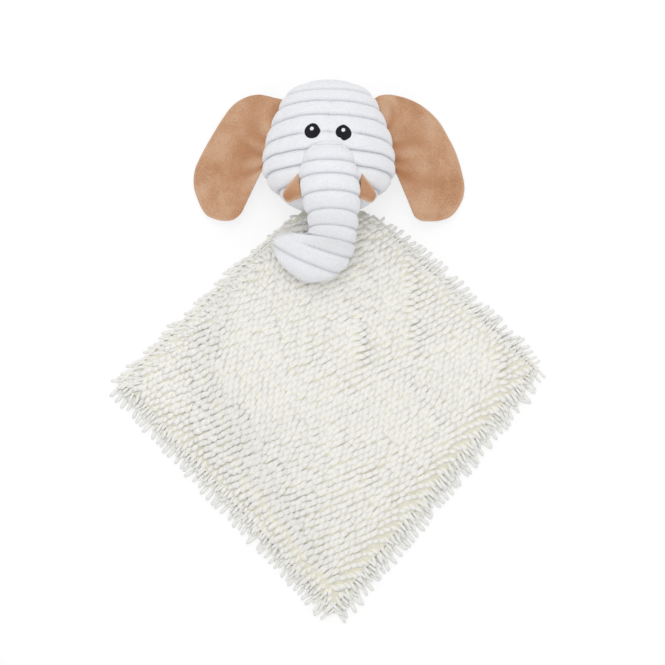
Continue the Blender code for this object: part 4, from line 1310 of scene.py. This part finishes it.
@dataclass
class NoodleTree:
    """The Geometry Nodes tree that grows one noodle on each point of a mesh."""

    length: float = 11.2 * MM
    width: float = 5.5 * MM
    rings: int = 7
    sides: int = 7
    bends: Shares = (0.03, 0.07, 0.12)
    root_girth: float = 0.8
    swell: float = 0.3
    tip_start: float = 0.76
    least_tip: float = 0.03

    def noodle(self, tree: Tree, given: Callable[[str], Wire], bend: float) -> Wire:
        """Builds one noodle, lying along x and arched.

        Args:
            tree: The tree.
            given: Finds one of its inputs by name.
            bend: The height of its arch in shares of its length.

        Returns:
            The noodle, as an instance.
        """
        line = tree.node("GeometryNodeCurvePrimitiveLine", {"mode": "POINTS"}, {"End": (1, 0, 0)})
        line = tree.node("GeometryNodeResampleCurve", {"mode": "COUNT"}, {"Curve": line, "Count": self.rings})
        share = tree.node("GeometryNodeSplineParameter")
        left = 1.0 - share
        reach = 1.0 - left * left
        arch = reach * (1.0 - reach) * (4 * bend)
        spot = tree.node("ShaderNodeCombineXYZ", {}, {0: reach * given("Length"), 2: arch * given("Length")})
        line = tree.node("GeometryNodeSetPosition", {}, {"Geometry": line, "Position": spot})
        names = {"data_type": "FLOAT", "domain": "POINT"}
        inputs = {"Geometry": line, "Name": "reach", "Value": share}
        line = tree.node("GeometryNodeStoreNamedAttribute", names, inputs)
        tip = ((share - self.tip_start) / (1 - self.tip_start)).math("MAXIMUM", 0.0)
        full = (1.0 - tip * tip).math("MAXIMUM", self.least_tip).math("SQRT")
        girth = full * (share * self.swell + self.root_girth).math("MINIMUM", 1.0)
        inputs = {"Resolution": self.sides, "Radius": given("Width") * 0.5}
        ring = tree.node("GeometryNodeCurvePrimitiveCircle", {"mode": "RADIUS"}, inputs)
        inputs = {"Curve": line, "Profile Curve": ring, "Scale": girth, "Fill Caps": True}
        tube = tree.node("GeometryNodeCurveToMesh", {}, inputs)
        return tree.node("GeometryNodeGeometryToInstance", {}, {"Geometry": tube})

    def build(self) -> bpy.types.GeometryNodeTree:
        """Builds the tree, with its sizes as named inputs."""
        group = bpy.data.node_groups.new("Noodle pile", "GeometryNodeTree")
        group.interface.new_socket("Geometry", in_out="OUTPUT", socket_type="NodeSocketGeometry")
        sockets = {"Geometry": "Geometry", "Length": "Float", "Width": "Float", "Seed": "Int", "Finish": "Material"}
        for label, kind in sockets.items():
            group.interface.new_socket(label, in_out="INPUT", socket_type=f"NodeSocket{kind}")
        tree = Tree(group)
        source = tree.add("NodeGroupInput")

        def given(name: str) -> Wire:
            """One of the tree's inputs."""
            return Wire(tree, source.outputs[name])

        def carried(name: str) -> Wire:
            """A number that each point carries."""
            return tree.node("GeometryNodeInputNamedAttribute", {"data_type": "FLOAT"}, {"Name": name})

        noodles = tree.add("GeometryNodeJoinGeometry")
        for bend in reversed(self.bends):
            tree.join(self.noodle(tree, given, bend), noodles.inputs[0])
        points = tree.node("GeometryNodeMeshToPoints", {}, {"Mesh": given("Geometry"), "Radius": 1 * MM})
        pick = {"ID": tree.node("GeometryNodeInputIndex"), "Seed": given("Seed"), 4: 0, 5: len(self.bends) - 1}
        kind = tree.node("FunctionNodeRandomValue", {"data_type": "INT"}, pick, 2)
        angles = {0: carried("roll"), 1: carried("rise") * -1.0, 2: carried("yaw")}
        euler = tree.node("ShaderNodeCombineXYZ", {}, angles)
        turned = tree.node("FunctionNodeEulerToRotation", {}, {"Euler": euler})
        inputs = {"Points": points, "Instance": Wire(tree, noodles.outputs[0]), "Pick Instance": True}
        inputs |= {"Instance Index": kind, "Rotation": turned, "Scale": carried("size")}
        grown = tree.node("GeometryNodeInstanceOnPoints", {}, inputs)
        solid = tree.node("GeometryNodeRealizeInstances", {}, {"Geometry": grown})
        solid = tree.node("GeometryNodeSetShadeSmooth", {}, {"Geometry": solid})
        solid = tree.node("GeometryNodeSetMaterial", {}, {"Geometry": solid, "Material": given("Finish")})
        tree.add("NodeGroupOutput", {}, {0: solid})
        return group

    def grow(self, name: str, points: np.ndarray, marks: Marks, cloth: Cloth, seed: int) -> Piece:
        """Grows the noodles on some points as one plain mesh.

        Args:
            name: The piece's name.
            points: The roots of the noodles.
            marks: Each noodle's yaw, rise, roll and size.
            cloth: Their finish.
            seed: The seed of what is random.

        Returns:
            The noodles.
        """
        group = bpy.data.node_groups.get("Noodle pile") or self.build()
        mesh = bpy.data.meshes.new(name)
        mesh.from_pydata(points.tolist(), [], [])
        mark_points(mesh, marks)
        carrier = link(f"{name}_points", mesh)
        modifier = carrier.modifiers.new("Noodles", "NODES")
        modifier.node_group = group
        sizes = {"Length": self.length, "Width": self.width, "Seed": seed, "Finish": cloth}
        for item in group.interface.items_tree:
            if item.in_out == "INPUT" and item.name in sizes:
                modifier[item.identifier] = sizes[item.name]
        bpy.context.view_layer.update()
        grown = bpy.data.meshes.new_from_object(carrier.evaluated_get(bpy.context.evaluated_depsgraph_get()))
        grown.name = name
        bpy.data.objects.remove(carrier)
        if not grown.materials:
            grown.materials.append(cloth)
        return link(name, grown)


@dataclass(frozen=True)
class Ridge:
    """A line where the noodles part: its two ends and how far the parting reaches to either side."""

    start: Pair
    end: Pair
    reach: float

    def beside(self, spots: np.ndarray) -> tuple[np.ndarray, np.ndarray]:
        """How far places lie from the ridge, and on which side of it, 1 to its right."""
        start, end = np.array(self.start), np.array(self.end)
        way = end - start
        share = np.clip((spots - start) @ way / (way @ way), 0, 1)
        off = spots - (start + share[..., None] * way)
        return np.linalg.norm(off, axis=-1), np.sign(off[..., 0])


@dataclass(frozen=True)
class Hem:
    """The hem of one side: its name, its band's width and how its noodles lie.

    The noodles are shifted outwards and have a length share, a number of rows and an angle in degrees. Near the neck
    they turn on by some degrees, and they end at a distance before the end of the blanket.
    """

    name: str
    width: float
    shift: float
    length: float
    rows: int
    angle: float
    turn: float = 0
    end: float = 2 * MM


@dataclass(frozen=True)
class HemRow:
    """A row of noodles on a hem: how far inwards and how high it is sewn, its rise in degrees and its length share."""

    inwards: float
    height: float
    rise: float
    length: float


@dataclass
class Blanket:
    """The square noodle blanket, laid on one corner under the head, with its plies, its pile and its hems."""

    side: float = 265 * MM
    corner_shares: tuple[Pair, ...] = ((-0.982, 0.025), (0.019, 0.987), (0.973, 0.097), (0.019, -1.049))
    end_y: float = 159 * MM
    neck_y: float = 164 * MM
    back_base: float = 0.05 * MM
    back_inset: float = 0.5 * MM
    back_thickness: float = 2.4 * MM
    gap: float = 0.3 * MM
    ground: float = 3.5 * MM
    swells: tuple[Triple, ...] = ((55 * MM, 1.3 * MM, 2), (24 * MM, 0.6 * MM, 5))
    rim_step: float = 4 * MM
    gather_rise: float = 10.5 * MM
    gather_reach: float = 42 * MM
    gather_folds: int = 7
    gather_fold_height: float = 1.8 * MM
    gather_hem_share: float = 0.6
    hems: tuple[Hem, ...] = (
        Hem("upper_left", 4.6 * MM, -0.9 * MM, 0.92, 5, 196),
        Hem("upper_right", 5 * MM, -0.8 * MM, 1.0, 4, 30, 12, 8 * MM),
        Hem("lower_right", 7.6 * MM, 1.2 * MM, 1.12, 4, -50),
        Hem("lower_left", 7 * MM, 0.3 * MM, 1.05, 4, 229),
    )
    hem_rows: tuple[HemRow, ...] = (
        HemRow(-1.4 * MM, 2.5 * MM, 1, 0.98),
        HemRow(2.2 * MM, 3.8 * MM, 3, 0.74),
        HemRow(5.4 * MM, 4.6 * MM, 6, 0.85),
        HemRow(8.8 * MM, 5.2 * MM, 10, 0.85),
        HemRow(12.6 * MM, 5.6 * MM, 12, 0.9),
    )
    hem_pitch: float = 6.2 * MM
    hem_thickness: float = 4.4 * MM
    hem_base: float = 0.4 * MM
    hem_power: float = 0.8
    hem_ring_step: float = 3 * MM
    hem_ring_sides: int = 16
    hem_sink: float = 1.4 * MM
    hem_past_share: float = 0.6
    hem_stop: float = 4 * MM
    hem_inset: float = 0.3 * MM
    hem_waver: Pair = (20 * MM, 0.5 * MM)
    hem_end_power: float = 40
    least_taper: float = 0.02
    neck_taper: float = 0.45
    taper_fade: Pair = (30 * MM, 90 * MM)
    clear_fade: Pair = (35 * MM, 95 * MM)
    neck_shift: float = 3.5 * MM
    fringe_waver: Pair = (18 * MM, 0.3)
    fringe_scatter: Triple = (0.16, 0.05, 0.3)
    fringe_sizes: Pair = (0.85, 1.1)
    neck_size: float = 0.82
    blunt_share: float = 0.45
    blunt_corner: int = 2
    blunt_reach: float = 14 * MM
    pitch: float = 5.4 * MM
    row_gap: float = 5.7 * MM
    row_climb: float = 0.7
    climb_start: float = -20 * MM
    climb_share: float = 0.8
    drifts: tuple[Triple, Triple] = ((80 * MM, 4 * MM, 21), (80 * MM, 4 * MM, 22))
    scatter: float = 0.25 * MM
    turn_wavers: tuple[Triple, Triple] = ((70 * MM, 0.3, 8), (26 * MM, 0.16, 9))
    border_x: float = -112 * MM
    border_shift: float = 60 * MM
    border_fade: Pair = (-20 * MM, 150 * MM)
    border_waver: Triple = (40 * MM, 14 * MM, 12)
    border_width: float = 15 * MM
    border_widening: float = 30 * MM
    widening_fade: Pair = (-10 * MM, 50 * MM)
    row_angle: float = math.radians(19.5)
    slant: float = math.radians(23)
    pile_inset: float = 4.5 * MM
    pile_end: float = 2 * MM
    pile_scatter: Triple = (0.09, 0.06, 0.25)
    pile_sizes: Pair = (0.94, 1.06)
    neck_inset: float = 4 * MM
    neck_inset_reach: float = 45 * MM
    edge_size: float = 0.76
    edge_size_fade: Pair = (4 * MM, 18 * MM)
    root_share: float = 0.4
    root_fade: Pair = (4 * MM, 20 * MM)
    steep_size: float = 0.08
    pile_sink: float = 2.1 * MM
    steep_sink: float = 1.6 * MM
    steep: float = math.radians(24)
    steepest: float = math.radians(40)
    lowest_rise: float = math.radians(13)
    rise_range: float = math.radians(27)
    rise_power: float = 1.3
    parting_share: float = 0.5
    neck_reach: float = 38 * MM
    hem_reach: float = 11 * MM
    left_parting: float = math.radians(50)
    right_parting: float = math.radians(-24)
    ridge_height: float = 1.5 * MM
    ridge_width: float = 5 * MM
    ridges: tuple[Ridge, ...] = (
        Ridge((66 * MM, 112 * MM), (70 * MM, 38 * MM), 15 * MM),
        Ridge((146 * MM, 48 * MM), (150 * MM, -8 * MM), 14 * MM),
        Ridge((20 * MM, 62 * MM), (24 * MM, 24 * MM), 11 * MM),
        Ridge((-163 * MM, 24 * MM), (-166 * MM, -4 * MM), 9 * MM),
    )
    noodles: NoodleTree = field(default_factory=NoodleTree)
    fringe: NoodleTree = field(default_factory=lambda: NoodleTree(length=11.5 * MM, width=3.5 * MM))

    def __post_init__(self) -> None:
        """Places the corners, left, top, right and bottom, and starts what is random."""
        self.corners = np.array(self.corner_shares) * self.side / math.sqrt(2)
        self.chance = np.random.default_rng(11)

    def outline(self, grow: float) -> np.ndarray:
        """The blanket's outline, cut off straight behind the neck.

        Args:
            grow: How far outside the hem line it lies.

        Returns:
            Its five corners, going round.
        """
        moved = []
        for i, corner in enumerate(self.corners):
            ways = corner - self.corners[i - 1], self.corners[(i + 1) % 4] - corner
            normals = [unit(np.array((-way[1], way[0]))) for way in ways]
            bisector = unit(normals[0] + normals[1])
            moved.append(corner + bisector * grow / (bisector @ normals[0]))
        left, top, right, bottom = moved
        cuts = [end + (top - end) * (self.end_y - end[1]) / (top[1] - end[1]) for end in (left, right)]
        return np.array([left, *cuts, right, bottom])

    def edge_distances(self, spots: np.ndarray) -> np.ndarray:
        """How far inside each side some places lie: upper left, upper right, lower right and lower left."""
        ways = [unit(way) for way in np.roll(self.corners, -1, axis=0) - self.corners]
        return np.array([(spots - start) @ np.array((way[1], -way[0])) for start, way in zip(self.corners, ways)])

    def neck_distance(self, spots: np.ndarray) -> np.ndarray:
        """How far places lie from the middle of the neck, seen from above."""
        return np.linalg.norm(spots - np.array((0, self.neck_y)), axis=-1)

    def height(self, spots: np.ndarray) -> np.ndarray:
        """The height of the cloth under the noodles."""
        turn = np.arctan2(spots[..., 0], self.neck_y - spots[..., 1])
        distance = self.neck_distance(spots)
        fold = np.cos(self.gather_folds * turn) * self.gather_fold_height
        fold = fold * np.minimum(distance / self.gather_reach, 1)
        swell = waver(level(spots), *self.swells)
        for ridge in self.ridges:
            swell = swell + self.ridge_height * hump(ridge.beside(spots)[0], 0, self.ridge_width)
        base = self.back_thickness + self.gap + self.ground
        return base + swell + hump(distance, 0, self.gather_reach) * (self.gather_rise + fold)

    def gathered(self, spot: np.ndarray) -> float:
        """How high the gathers lift the hem at a place."""
        near = hump(self.neck_distance(spot), 0, self.gather_reach)
        return self.gather_hem_share * self.gather_rise * float(near)

    def ply(self, name: str, grow: float, low: float, high: Callable[[np.ndarray], Any], cloth: Cloth) -> Piece:
        """Lays one ply.

        Args:
            name: The piece's name.
            grow: How far outside the hem line it reaches.
            low: The height of its underside.
            high: The height of its top side, a function of places.
            cloth: Its finish.

        Returns:
            The ply.
        """
        corners = self.outline(grow)
        rim = []
        for start, end in zip(corners, np.roll(corners, -1, axis=0)):
            steps = max(int(np.linalg.norm(end - start) / self.rim_step), 4)
            rim += [start + (end - start) * i / steps for i in range(steps)]
        centre = np.mean(rim, axis=0)
        below = [centre + (rim - centre) * radius for radius in (0.01, 0.5, 1.0)]
        above = [centre + (rim - centre) * radius for radius in np.sin(np.linspace(1, 0.01, 60) * math.pi / 2)]
        rings = [np.column_stack([spots, np.full(len(spots), low)]) for spots in below]
        rings += [np.column_stack([spots, np.broadcast_to(high(spots), len(spots))]) for spots in above]
        rings[len(below)][:, 2] = (rings[len(below)][:, 2] + low) / 2
        return add_tube(name, np.array(rings), cloth)

    def sense(self, spots: np.ndarray) -> np.ndarray:
        """Which way along its rows the pile lies, from -1 at the left to 1 at the right."""
        down = -spots[:, 1]
        border = self.border_x + self.border_shift * fade(down, *self.border_fade)
        border = border + waver(level(spots), self.border_waver)
        wide = self.border_width + self.border_widening * fade(down, *self.widening_fade)
        return np.tanh((spots[:, 0] - border) / wide)

    def lean(self, spots: np.ndarray) -> tuple[np.ndarray, np.ndarray]:
        """Which way the pile lies.

        Args:
            spots: The roots of the noodles.

        Returns:
            Their directions over the cloth, and how far each stands up, as angles.
        """
        climb = np.arctan(2 * self.row_climb * np.maximum(spots[:, 0] - self.climb_start, 0))
        turn = self.row_angle + self.slant + waver(level(spots), *self.turn_wavers) + climb * self.climb_share
        way = np.column_stack([np.cos(turn), np.sin(turn)]) * self.sense(spots)[:, None]
        for ridge in self.ridges:
            distance, side = ridge.beside(spots)
            share = self.parting_share * hump(distance, 0, ridge.reach)[:, None]
            angle = np.where(side > 0, self.right_parting, self.left_parting)
            way = way * (1 - share) + np.column_stack([np.cos(angle), np.sin(angle)]) * share
        for distance, hem in zip(self.edge_distances(spots), self.hems):
            share = hump(np.maximum(distance, 0), 0, self.hem_reach)[:, None]
            angle = math.radians(hem.angle)
            way = way * (1 - share) + np.array((math.cos(angle), math.sin(angle))) * share
        distance = self.neck_distance(spots)[:, None]
        share = hump(distance, 0, self.neck_reach)
        way = way * (1 - share) + (spots - np.array((0, self.neck_y))) / np.maximum(distance, 1e-6) * share
        strength = np.clip(np.linalg.norm(way, axis=1), 0, 1)
        rise = self.lowest_rise + self.rise_range * (1 - strength) ** self.rise_power
        return np.arctan2(way[:, 1], way[:, 0]), rise

    def vary(self, yaw: np.ndarray, rise: np.ndarray, size: np.ndarray, scatter: Triple, sizes: Pair) -> Marks:
        """Makes each noodle a little unlike the next.

        Args:
            yaw: The directions of the noodles over the cloth.
            rise: How far each stands up, as an angle.
            size: Their sizes.
            scatter: How widely their yaw, rise and roll vary.
            sizes: The least and the greatest share of its size that one has.

        Returns:
            The marks that they are grown by.
        """
        yaws, rises, rolls = (self.chance.normal(0, width, len(yaw)) for width in scatter)
        shares = self.chance.uniform(*sizes, len(yaw))
        return {"yaw": yaw + yaws, "rise": rise + rises, "roll": rolls, "size": shares * size}

    def rows(self) -> tuple[np.ndarray, np.ndarray]:
        """The places of the pile's rows all over, and which of them are filled only where the pile stands up."""
        along = np.arange(-self.side, self.side, self.pitch)
        rows = np.arange(-self.side, self.side, self.row_gap)
        grid = np.array([(a + (i % 2) * self.pitch / 2, b) for i, b in enumerate(rows) for a in along])
        cos, sin = math.cos(self.row_angle), math.sin(self.row_angle)
        spots = np.concatenate([grid, grid + np.array((self.pitch / 2, 0))]) @ np.array(((cos, sin), (-sin, cos)))
        flat = level(spots)
        drift = np.column_stack([waver(flat, octave) for octave in self.drifts])
        spare = np.arange(len(spots)) >= len(grid)
        spots = spots + drift + self.chance.normal(0, self.scatter, spots.shape)
        spots[:, 1] += self.row_climb * np.maximum(spots[:, 0] - self.climb_start, 0) ** 2
        return spots, spare

    def pile(self, cloth: Cloth) -> list[Piece]:
        """Grows the noodles on the front, a left and a right half.

        Args:
            cloth: The chenille.

        Returns:
            The two halves.
        """
        spots, spare = self.rows()
        edges = self.edge_distances(spots)
        inset = self.pile_inset - self.neck_inset * hump(self.neck_distance(spots), 0, self.neck_inset_reach)
        inside = (edges > inset).all(axis=0) & (spots[:, 1] < self.end_y - self.pile_end)
        spots, spare, edges = spots[inside], spare[inside], edges[:, inside].min(axis=0)
        slim = self.edge_size + (1 - self.edge_size) * fade(edges, *self.edge_size_fade)
        yaw, rise = self.lean(spots)
        back = self.root_share * self.noodles.length * np.cos(rise) * fade(edges, *self.root_fade)
        spots = spots - np.column_stack([np.cos(yaw), np.sin(yaw)]) * back[:, None]
        kept = ~spare | (rise > self.steep)
        spots, yaw, rise, slim = spots[kept], yaw[kept], rise[kept], slim[kept]
        upright = fade(rise, self.steep, self.steepest)
        marks = self.vary(yaw, rise, (1 - self.steep_size * upright) * slim, self.pile_scatter, self.pile_sizes)
        roots = np.column_stack([spots, self.height(spots) - self.pile_sink - self.steep_sink * upright])
        left = spots[:, 0] < np.median(spots[:, 0])
        halves = []
        for word, chosen in (("left", left), ("right", ~left)):
            part = {mark: values[chosen] for mark, values in marks.items()}
            halves.append(self.noodles.grow(f"pile_{word}", roots[chosen], part, cloth, 3))
        return halves

    def hem_line(self, side: int) -> tuple[np.ndarray, np.ndarray, np.ndarray]:
        """The middle line of one side's band, which stops short of the gathers.

        Args:
            side: 0 to 3, upper left, upper right, lower right, lower left.

        Returns:
            Its start, its end, and the direction outwards.
        """
        width = self.hems[side].width
        start, end = self.corners[side], self.corners[(side + 1) % 4]
        way = unit(end - start)
        out = np.array((-way[1], way[0]))
        past = way * width * self.hem_past_share
        start, end = (spot + out * (self.gap + width / 2) for spot in (start - past, end + past))
        limit = self.end_y - self.hem_stop
        if start[1] > limit:
            start = end + (start - end) * (limit - end[1]) / (start[1] - end[1])
        if end[1] > limit:
            end = start + (end - start) * (limit - start[1]) / (end[1] - start[1])
        return start, end, out

    def hem_band(self, side: int, cloth: Cloth) -> Piece:
        """Makes the rolled band of the hem along one side.

        Args:
            side: 0 to 3, upper left, upper right, lower right, lower left.
            cloth: Its finish.

        Returns:
            The band.
        """
        hem = self.hems[side]
        start, end, out = self.hem_line(side)
        count = int(np.linalg.norm(end - start) / self.hem_ring_step)
        turns = rounds(self.hem_ring_sides)
        wide, tall = (np.sign(turn) * np.abs(turn) ** self.hem_power for turn in (np.cos(turns), np.sin(turns)))
        rings = []
        for i in range(count + 1):
            share = i / count
            spot = start + (end - start) * share
            clear = float(fade(self.neck_distance(spot), *self.taper_fade))
            taper = math.sqrt(max(1 - abs(2 * share - 1) ** self.hem_end_power, self.least_taper))
            taper = taper * (self.neck_taper + (1 - self.neck_taper) * clear)
            wave = noise.noise(Vector((*spot / self.hem_waver[0], side))) * self.hem_waver[1]
            across = wide * (hem.width / 2 - self.hem_inset) * taper + wave
            up = (1 + tall * taper) * self.hem_thickness / 2 + self.hem_base + self.gathered(spot)
            rings.append(np.column_stack([spot + across[:, None] * out, up]))
        return add_tube(f"hem_{hem.name}_band", np.array(rings), cloth)

    def hem_noodles(self, side: int, cloth: Cloth) -> Piece:
        """Grows the noodles that hang over the hem along one side.

        Args:
            side: 0 to 3, upper left, upper right, lower right, lower left.
            cloth: The chenille.

        Returns:
            The noodles.
        """
        hem = self.hems[side]
        start, end, out = self.hem_line(side)
        number = int(np.linalg.norm(end - start) / self.hem_pitch)
        inner = hem.shift + self.gap + hem.width / 2 - 1 * MM
        roots, found = [], []
        for row, sewn in enumerate(self.hem_rows[: hem.rows]):
            for i in range(-4, number + 4):
                share = (i + 0.4 + 0.5 * (row % 2)) / number
                spot = start + (end - start) * share
                clear = float(fade(self.neck_distance(spot), *self.clear_fade))
                spot = spot + out * (hem.shift - sewn.inwards - self.neck_shift * (1 - clear))
                on_hem = 0 < share < 0.995 or self.end_y - 20 * MM < spot[1]
                if not on_hem or spot[1] > self.end_y - hem.end:
                    continue
                high = sewn.height + self.gathered(spot)
                if sewn.inwards > inner:
                    high = max(high, self.height(spot[None])[0] - self.hem_sink)
                roots.append((*spot, high))
                turn = math.radians(hem.angle) + math.radians(hem.turn) * (1 - clear)
                turn = turn + self.fringe_waver[1] * noise.noise(Vector((*spot / self.fringe_waver[0], row)))
                corner = np.linalg.norm(spot - self.corners[self.blunt_corner])
                blunt = 1 - self.blunt_share * float(hump(corner, 0, self.blunt_reach))
                size = sewn.length * hem.length * (self.neck_size + (1 - self.neck_size) * clear) * blunt
                found.append((turn, math.radians(sewn.rise), size))
        yaw, rise, size = np.array(found).T
        marks = self.vary(yaw, rise, size, self.fringe_scatter, self.fringe_sizes)
        return self.fringe.grow(f"hem_{hem.name}_noodles", np.array(roots), marks, cloth, 30 + side)

    def build(self, chenille: Cloth, fringe: Cloth, ground: Cloth, backing: Cloth) -> None:
        """Makes and seats the blanket's pieces.

        Args:
            chenille: The finish of the noodles.
            fringe: The finish of the hems.
            ground: The finish of the cloth that the noodles stand on.
            backing: The finish of the back ply.
        """
        low = self.back_thickness + self.gap
        front = self.ply("blanket_front", 0.0, low, self.height, ground)
        back = self.ply("blanket_back", -self.back_inset, self.back_base, lambda _: self.back_thickness, backing)
        seat(front, "blanket", "blanket_front_ply")
        seat(back, "blanket", "blanket_back_ply")
        trimmings = [seat(half, "blanket", "blanket_front_ply") for half in self.pile(chenille)]
        for side, hem in enumerate(self.hems):
            for piece in (self.hem_band(side, fringe), self.hem_noodles(side, fringe)):
                trimmings.append(seat(piece, "blanket", f"hem_noodles_{hem.name}"))


# Studio


@dataclass
class Studio:
    """The plain white floor, soft light from the upper left and a camera straight above."""

    camera_place: Triple = (3.15 * MM, 49.95 * MM, 2.2)
    lens: float = 132.33
    sensor: float = 36
    sight: float = 20
    floor_size: float = 6.0
    floor_height: float = -0.2 * MM
    floor_colour: Triple = (0.98, 0.98, 0.98)
    floor_glow: float = 0.72
    world_light: float = 0.82
    lamp_power: float = 5.4
    lamp_size: float = 0.5
    lamp_place: Triple = (-0.06, 0.38, 1.37)
    lamp_aim: Triple = (0.0, 0.1, 0.03)

    def floor(self) -> None:
        """Lays the floor, which glows a little where the camera sees it."""
        half = self.floor_size / 2
        corners = [(x, y, self.floor_height) for x, y in ((-half, -half), (half, -half), (half, half), (-half, half))]
        mesh = bpy.data.meshes.new("floor")
        mesh.from_pydata(corners, [], [(0, 1, 2, 3)])
        finish = bpy.data.materials.new("Pale floor")
        finish.use_nodes = True
        tree, nodes = Tree(finish.node_tree), finish.node_tree.nodes
        shader = nodes["Principled BSDF"]
        for socket, value in {"Base Color": self.floor_colour, "Roughness": 1, "Specular IOR Level": 0}.items():
            tree.join(value, shader.inputs[socket])
        seen = tree.node("ShaderNodeLightPath", output="Is Camera Ray") * self.floor_glow
        inputs = {0: seen, 1: Wire(tree, shader.outputs[0]), 2: tree.node("ShaderNodeEmission")}
        tree.join(tree.node("ShaderNodeMixShader", {}, inputs), nodes["Material Output"].inputs["Surface"])
        mesh.materials.append(finish)
        link("floor", mesh)

    def light(self) -> None:
        """Lights the world softly all round, white where the camera sees it, and adds one lamp."""
        world = bpy.data.worlds.new("Soft studio")
        world.use_nodes = True
        bpy.context.scene.world = world
        tree = Tree(world.node_tree)
        seen = tree.node("ShaderNodeLightPath", output="Is Camera Ray")
        strength = tree.node("ShaderNodeMapRange", {}, {"Value": seen, "To Min": self.world_light, "To Max": 1.0})
        background = world.node_tree.nodes["Background"]
        tree.join((1, 1, 1), background.inputs["Color"])
        tree.join(strength, background.inputs["Strength"])
        lamp = bpy.data.lights.new("Soft key", "AREA")
        lamp.shape = "SQUARE"
        lamp.energy = self.lamp_power
        lamp.size = self.lamp_size
        key = bpy.data.objects.new("Soft key", lamp)
        key.location = self.lamp_place
        key.rotation_euler = (Vector(self.lamp_aim) - Vector(self.lamp_place)).to_track_quat("-Z", "Y").to_euler()
        bpy.context.scene.collection.objects.link(key)

    def build(self) -> None:
        """Sets up the floor, the light and the camera."""
        scene = bpy.context.scene
        scene.view_settings.view_transform = "Standard"
        self.floor()
        self.light()
        lens = bpy.data.cameras.new("Camera above")
        lens.lens = self.lens
        lens.sensor_width = self.sensor
        lens.clip_end = self.sight
        camera = bpy.data.objects.new("Camera above", lens)
        camera.location = self.camera_place
        scene.collection.objects.link(camera)
        scene.camera = camera


LEFT_RIM = (
    (39.8, 257.4), (46.6, 257.9), (54.0, 260.2), (62.1, 262.1), (70.3, 261.4), (80.3, 257.6), (87.7, 251.8),
    (95.3, 241.9), (102.2, 231.1), (109.9, 218.1), (116.1, 206.4), (120.0, 197.2), (121.5, 187.1), (120.8, 178.6),
    (117.7, 169.4), (113.0, 159.4), (109.4, 155.0), (101.5, 151.2), (90.5, 149.4), (84.2, 150.5), (77.9, 155.7),
    (73.9, 164.8), (71.7, 173.9), (68.5, 183.0), (66.6, 190.2), (63.0, 192.3), (58.6, 192.9),
)
RIGHT_RIM = (
    (37.6, 256.2), (43.9, 259.6), (51.9, 261.4), (61.3, 260.8), (70.4, 258.7), (79.2, 255.2), (86.8, 250.4),
    (94.2, 244.1), (100.4, 236.6), (106.7, 225.7), (112.7, 214.1), (116.6, 203.3), (119.7, 191.7), (121.5, 180.2),
    (120.6, 172.4), (118.4, 166.3), (115.3, 161.0), (111.6, 156.2), (107.0, 152.6), (99.5, 150.0), (88.6, 148.9),
    (80.8, 149.5), (76.1, 152.6), (72.9, 159.2), (70.4, 168.5), (67.5, 180.6), (64.8, 184.9), (61.4, 188.6),
    (58.2, 191.4),
)
LEFT_CREASES = (
    Crease(0.58, 0.9, 0.1, 4.4 * MM, -0.57),
    Crease(0.67, 0.8, 0.05, -1.8 * MM, -0.6),
    Crease(0.75, 0.85, 0.08, 3.8 * MM, -0.65),
    Crease(0.84, 0.7, 0.05, -1.6 * MM, -0.6),
    Crease(0.92, 0.9, 0.06, 3.6 * MM, -0.58),
)
RIGHT_CREASES = (
    Crease(0.42, 0.7, 0.09, 4.0 * MM, -0.5),
    Crease(0.52, 0.7, 0.05, -1.6 * MM, -0.4),
    Crease(0.63, 0.9, 0.09, 4.0 * MM, -0.45),
    Crease(0.82, 0.55, 0.06, 3.0 * MM, -0.6),
    Crease(0.97, 0.95, 0.07, 3.6 * MM, -0.56),
)
LEFT_EYE = (1.04, 0.96, 1.04, 1.06, 0.99, 1.0, 1.05, 1.06, 1.02, 0.96, 0.94, 0.93)
RIGHT_EYE = (1.0, 0.91, 0.93, 1.02, 0.99, 1.03, 1.06, 1.01, 0.86, 1.09, 1.03, 1.05)


def main() -> None:
    """Builds the dressed lovey piece by piece."""
    logging.basicConfig(level=logging.INFO, format="%(name)s: %(message)s")
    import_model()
    Studio().build()
    corduroy = Corduroy().material()
    tan = Velour("Tan plush", (0.512, 0.292, 0.172), (0.42, 0.208, 0.103), (0.592, 0.378, 0.25)).material()
    white = Velour("White plush", (0.82, 0.82, 0.80), (0.74, 0.74, 0.72), (0.86, 0.86, 0.85)).material()
    # The root colours of both chenilles and the ground's light warm cream also carry painted bounce light for the gaps
    # between the noodles.
    chenille = Chenille().material()
    fringe = Chenille("Cream noodle fringe", (0.79, 0.79, 0.775), (0.85, 0.845, 0.81), (0.86, 0.845, 0.78)).material()
    ground = Knit("Cream ground", (0.96, 0.925, 0.79)).material()
    backing = Knit("Cream backing", (0.80, 0.79, 0.72)).material()
    filling = Filling().material()
    black = Embroidery("Black thread", (0.004, 0.004, 0.007), (0.012, 0.012, 0.02)).material()
    white_thread = Embroidery("White thread", (0.86, 0.87, 0.92), (0.95, 0.95, 0.99)).material()
    head = Head()
    panels = head.build(corduroy, filling)
    left, right = head.eye_places
    Eye(Side.LEFT, *left, LEFT_EYE, (-0.6 * MM, 2.2 * MM)).build(panels, black, white_thread)
    Eye(Side.RIGHT, *right, RIGHT_EYE, (-0.4 * MM, 2.0 * MM)).build(panels, black, white_thread)
    Trunk().build(head, corduroy, filling)
    Tusk(Side.LEFT, 24.0 * MM, 16 * MM).build(head, tan, filling)
    Tusk(Side.RIGHT, 26.2 * MM, 14.8 * MM).build(head, tan, filling)
    Ear(Side.LEFT, LEFT_RIM, LEFT_CREASES, head).build(tan, white)
    Ear(Side.RIGHT, RIGHT_RIM, RIGHT_CREASES, head).build(tan, white)
    Neck().build(backing)
    Blanket().build(chenille, fringe, ground, backing)


if __name__ == "__main__":
    main()
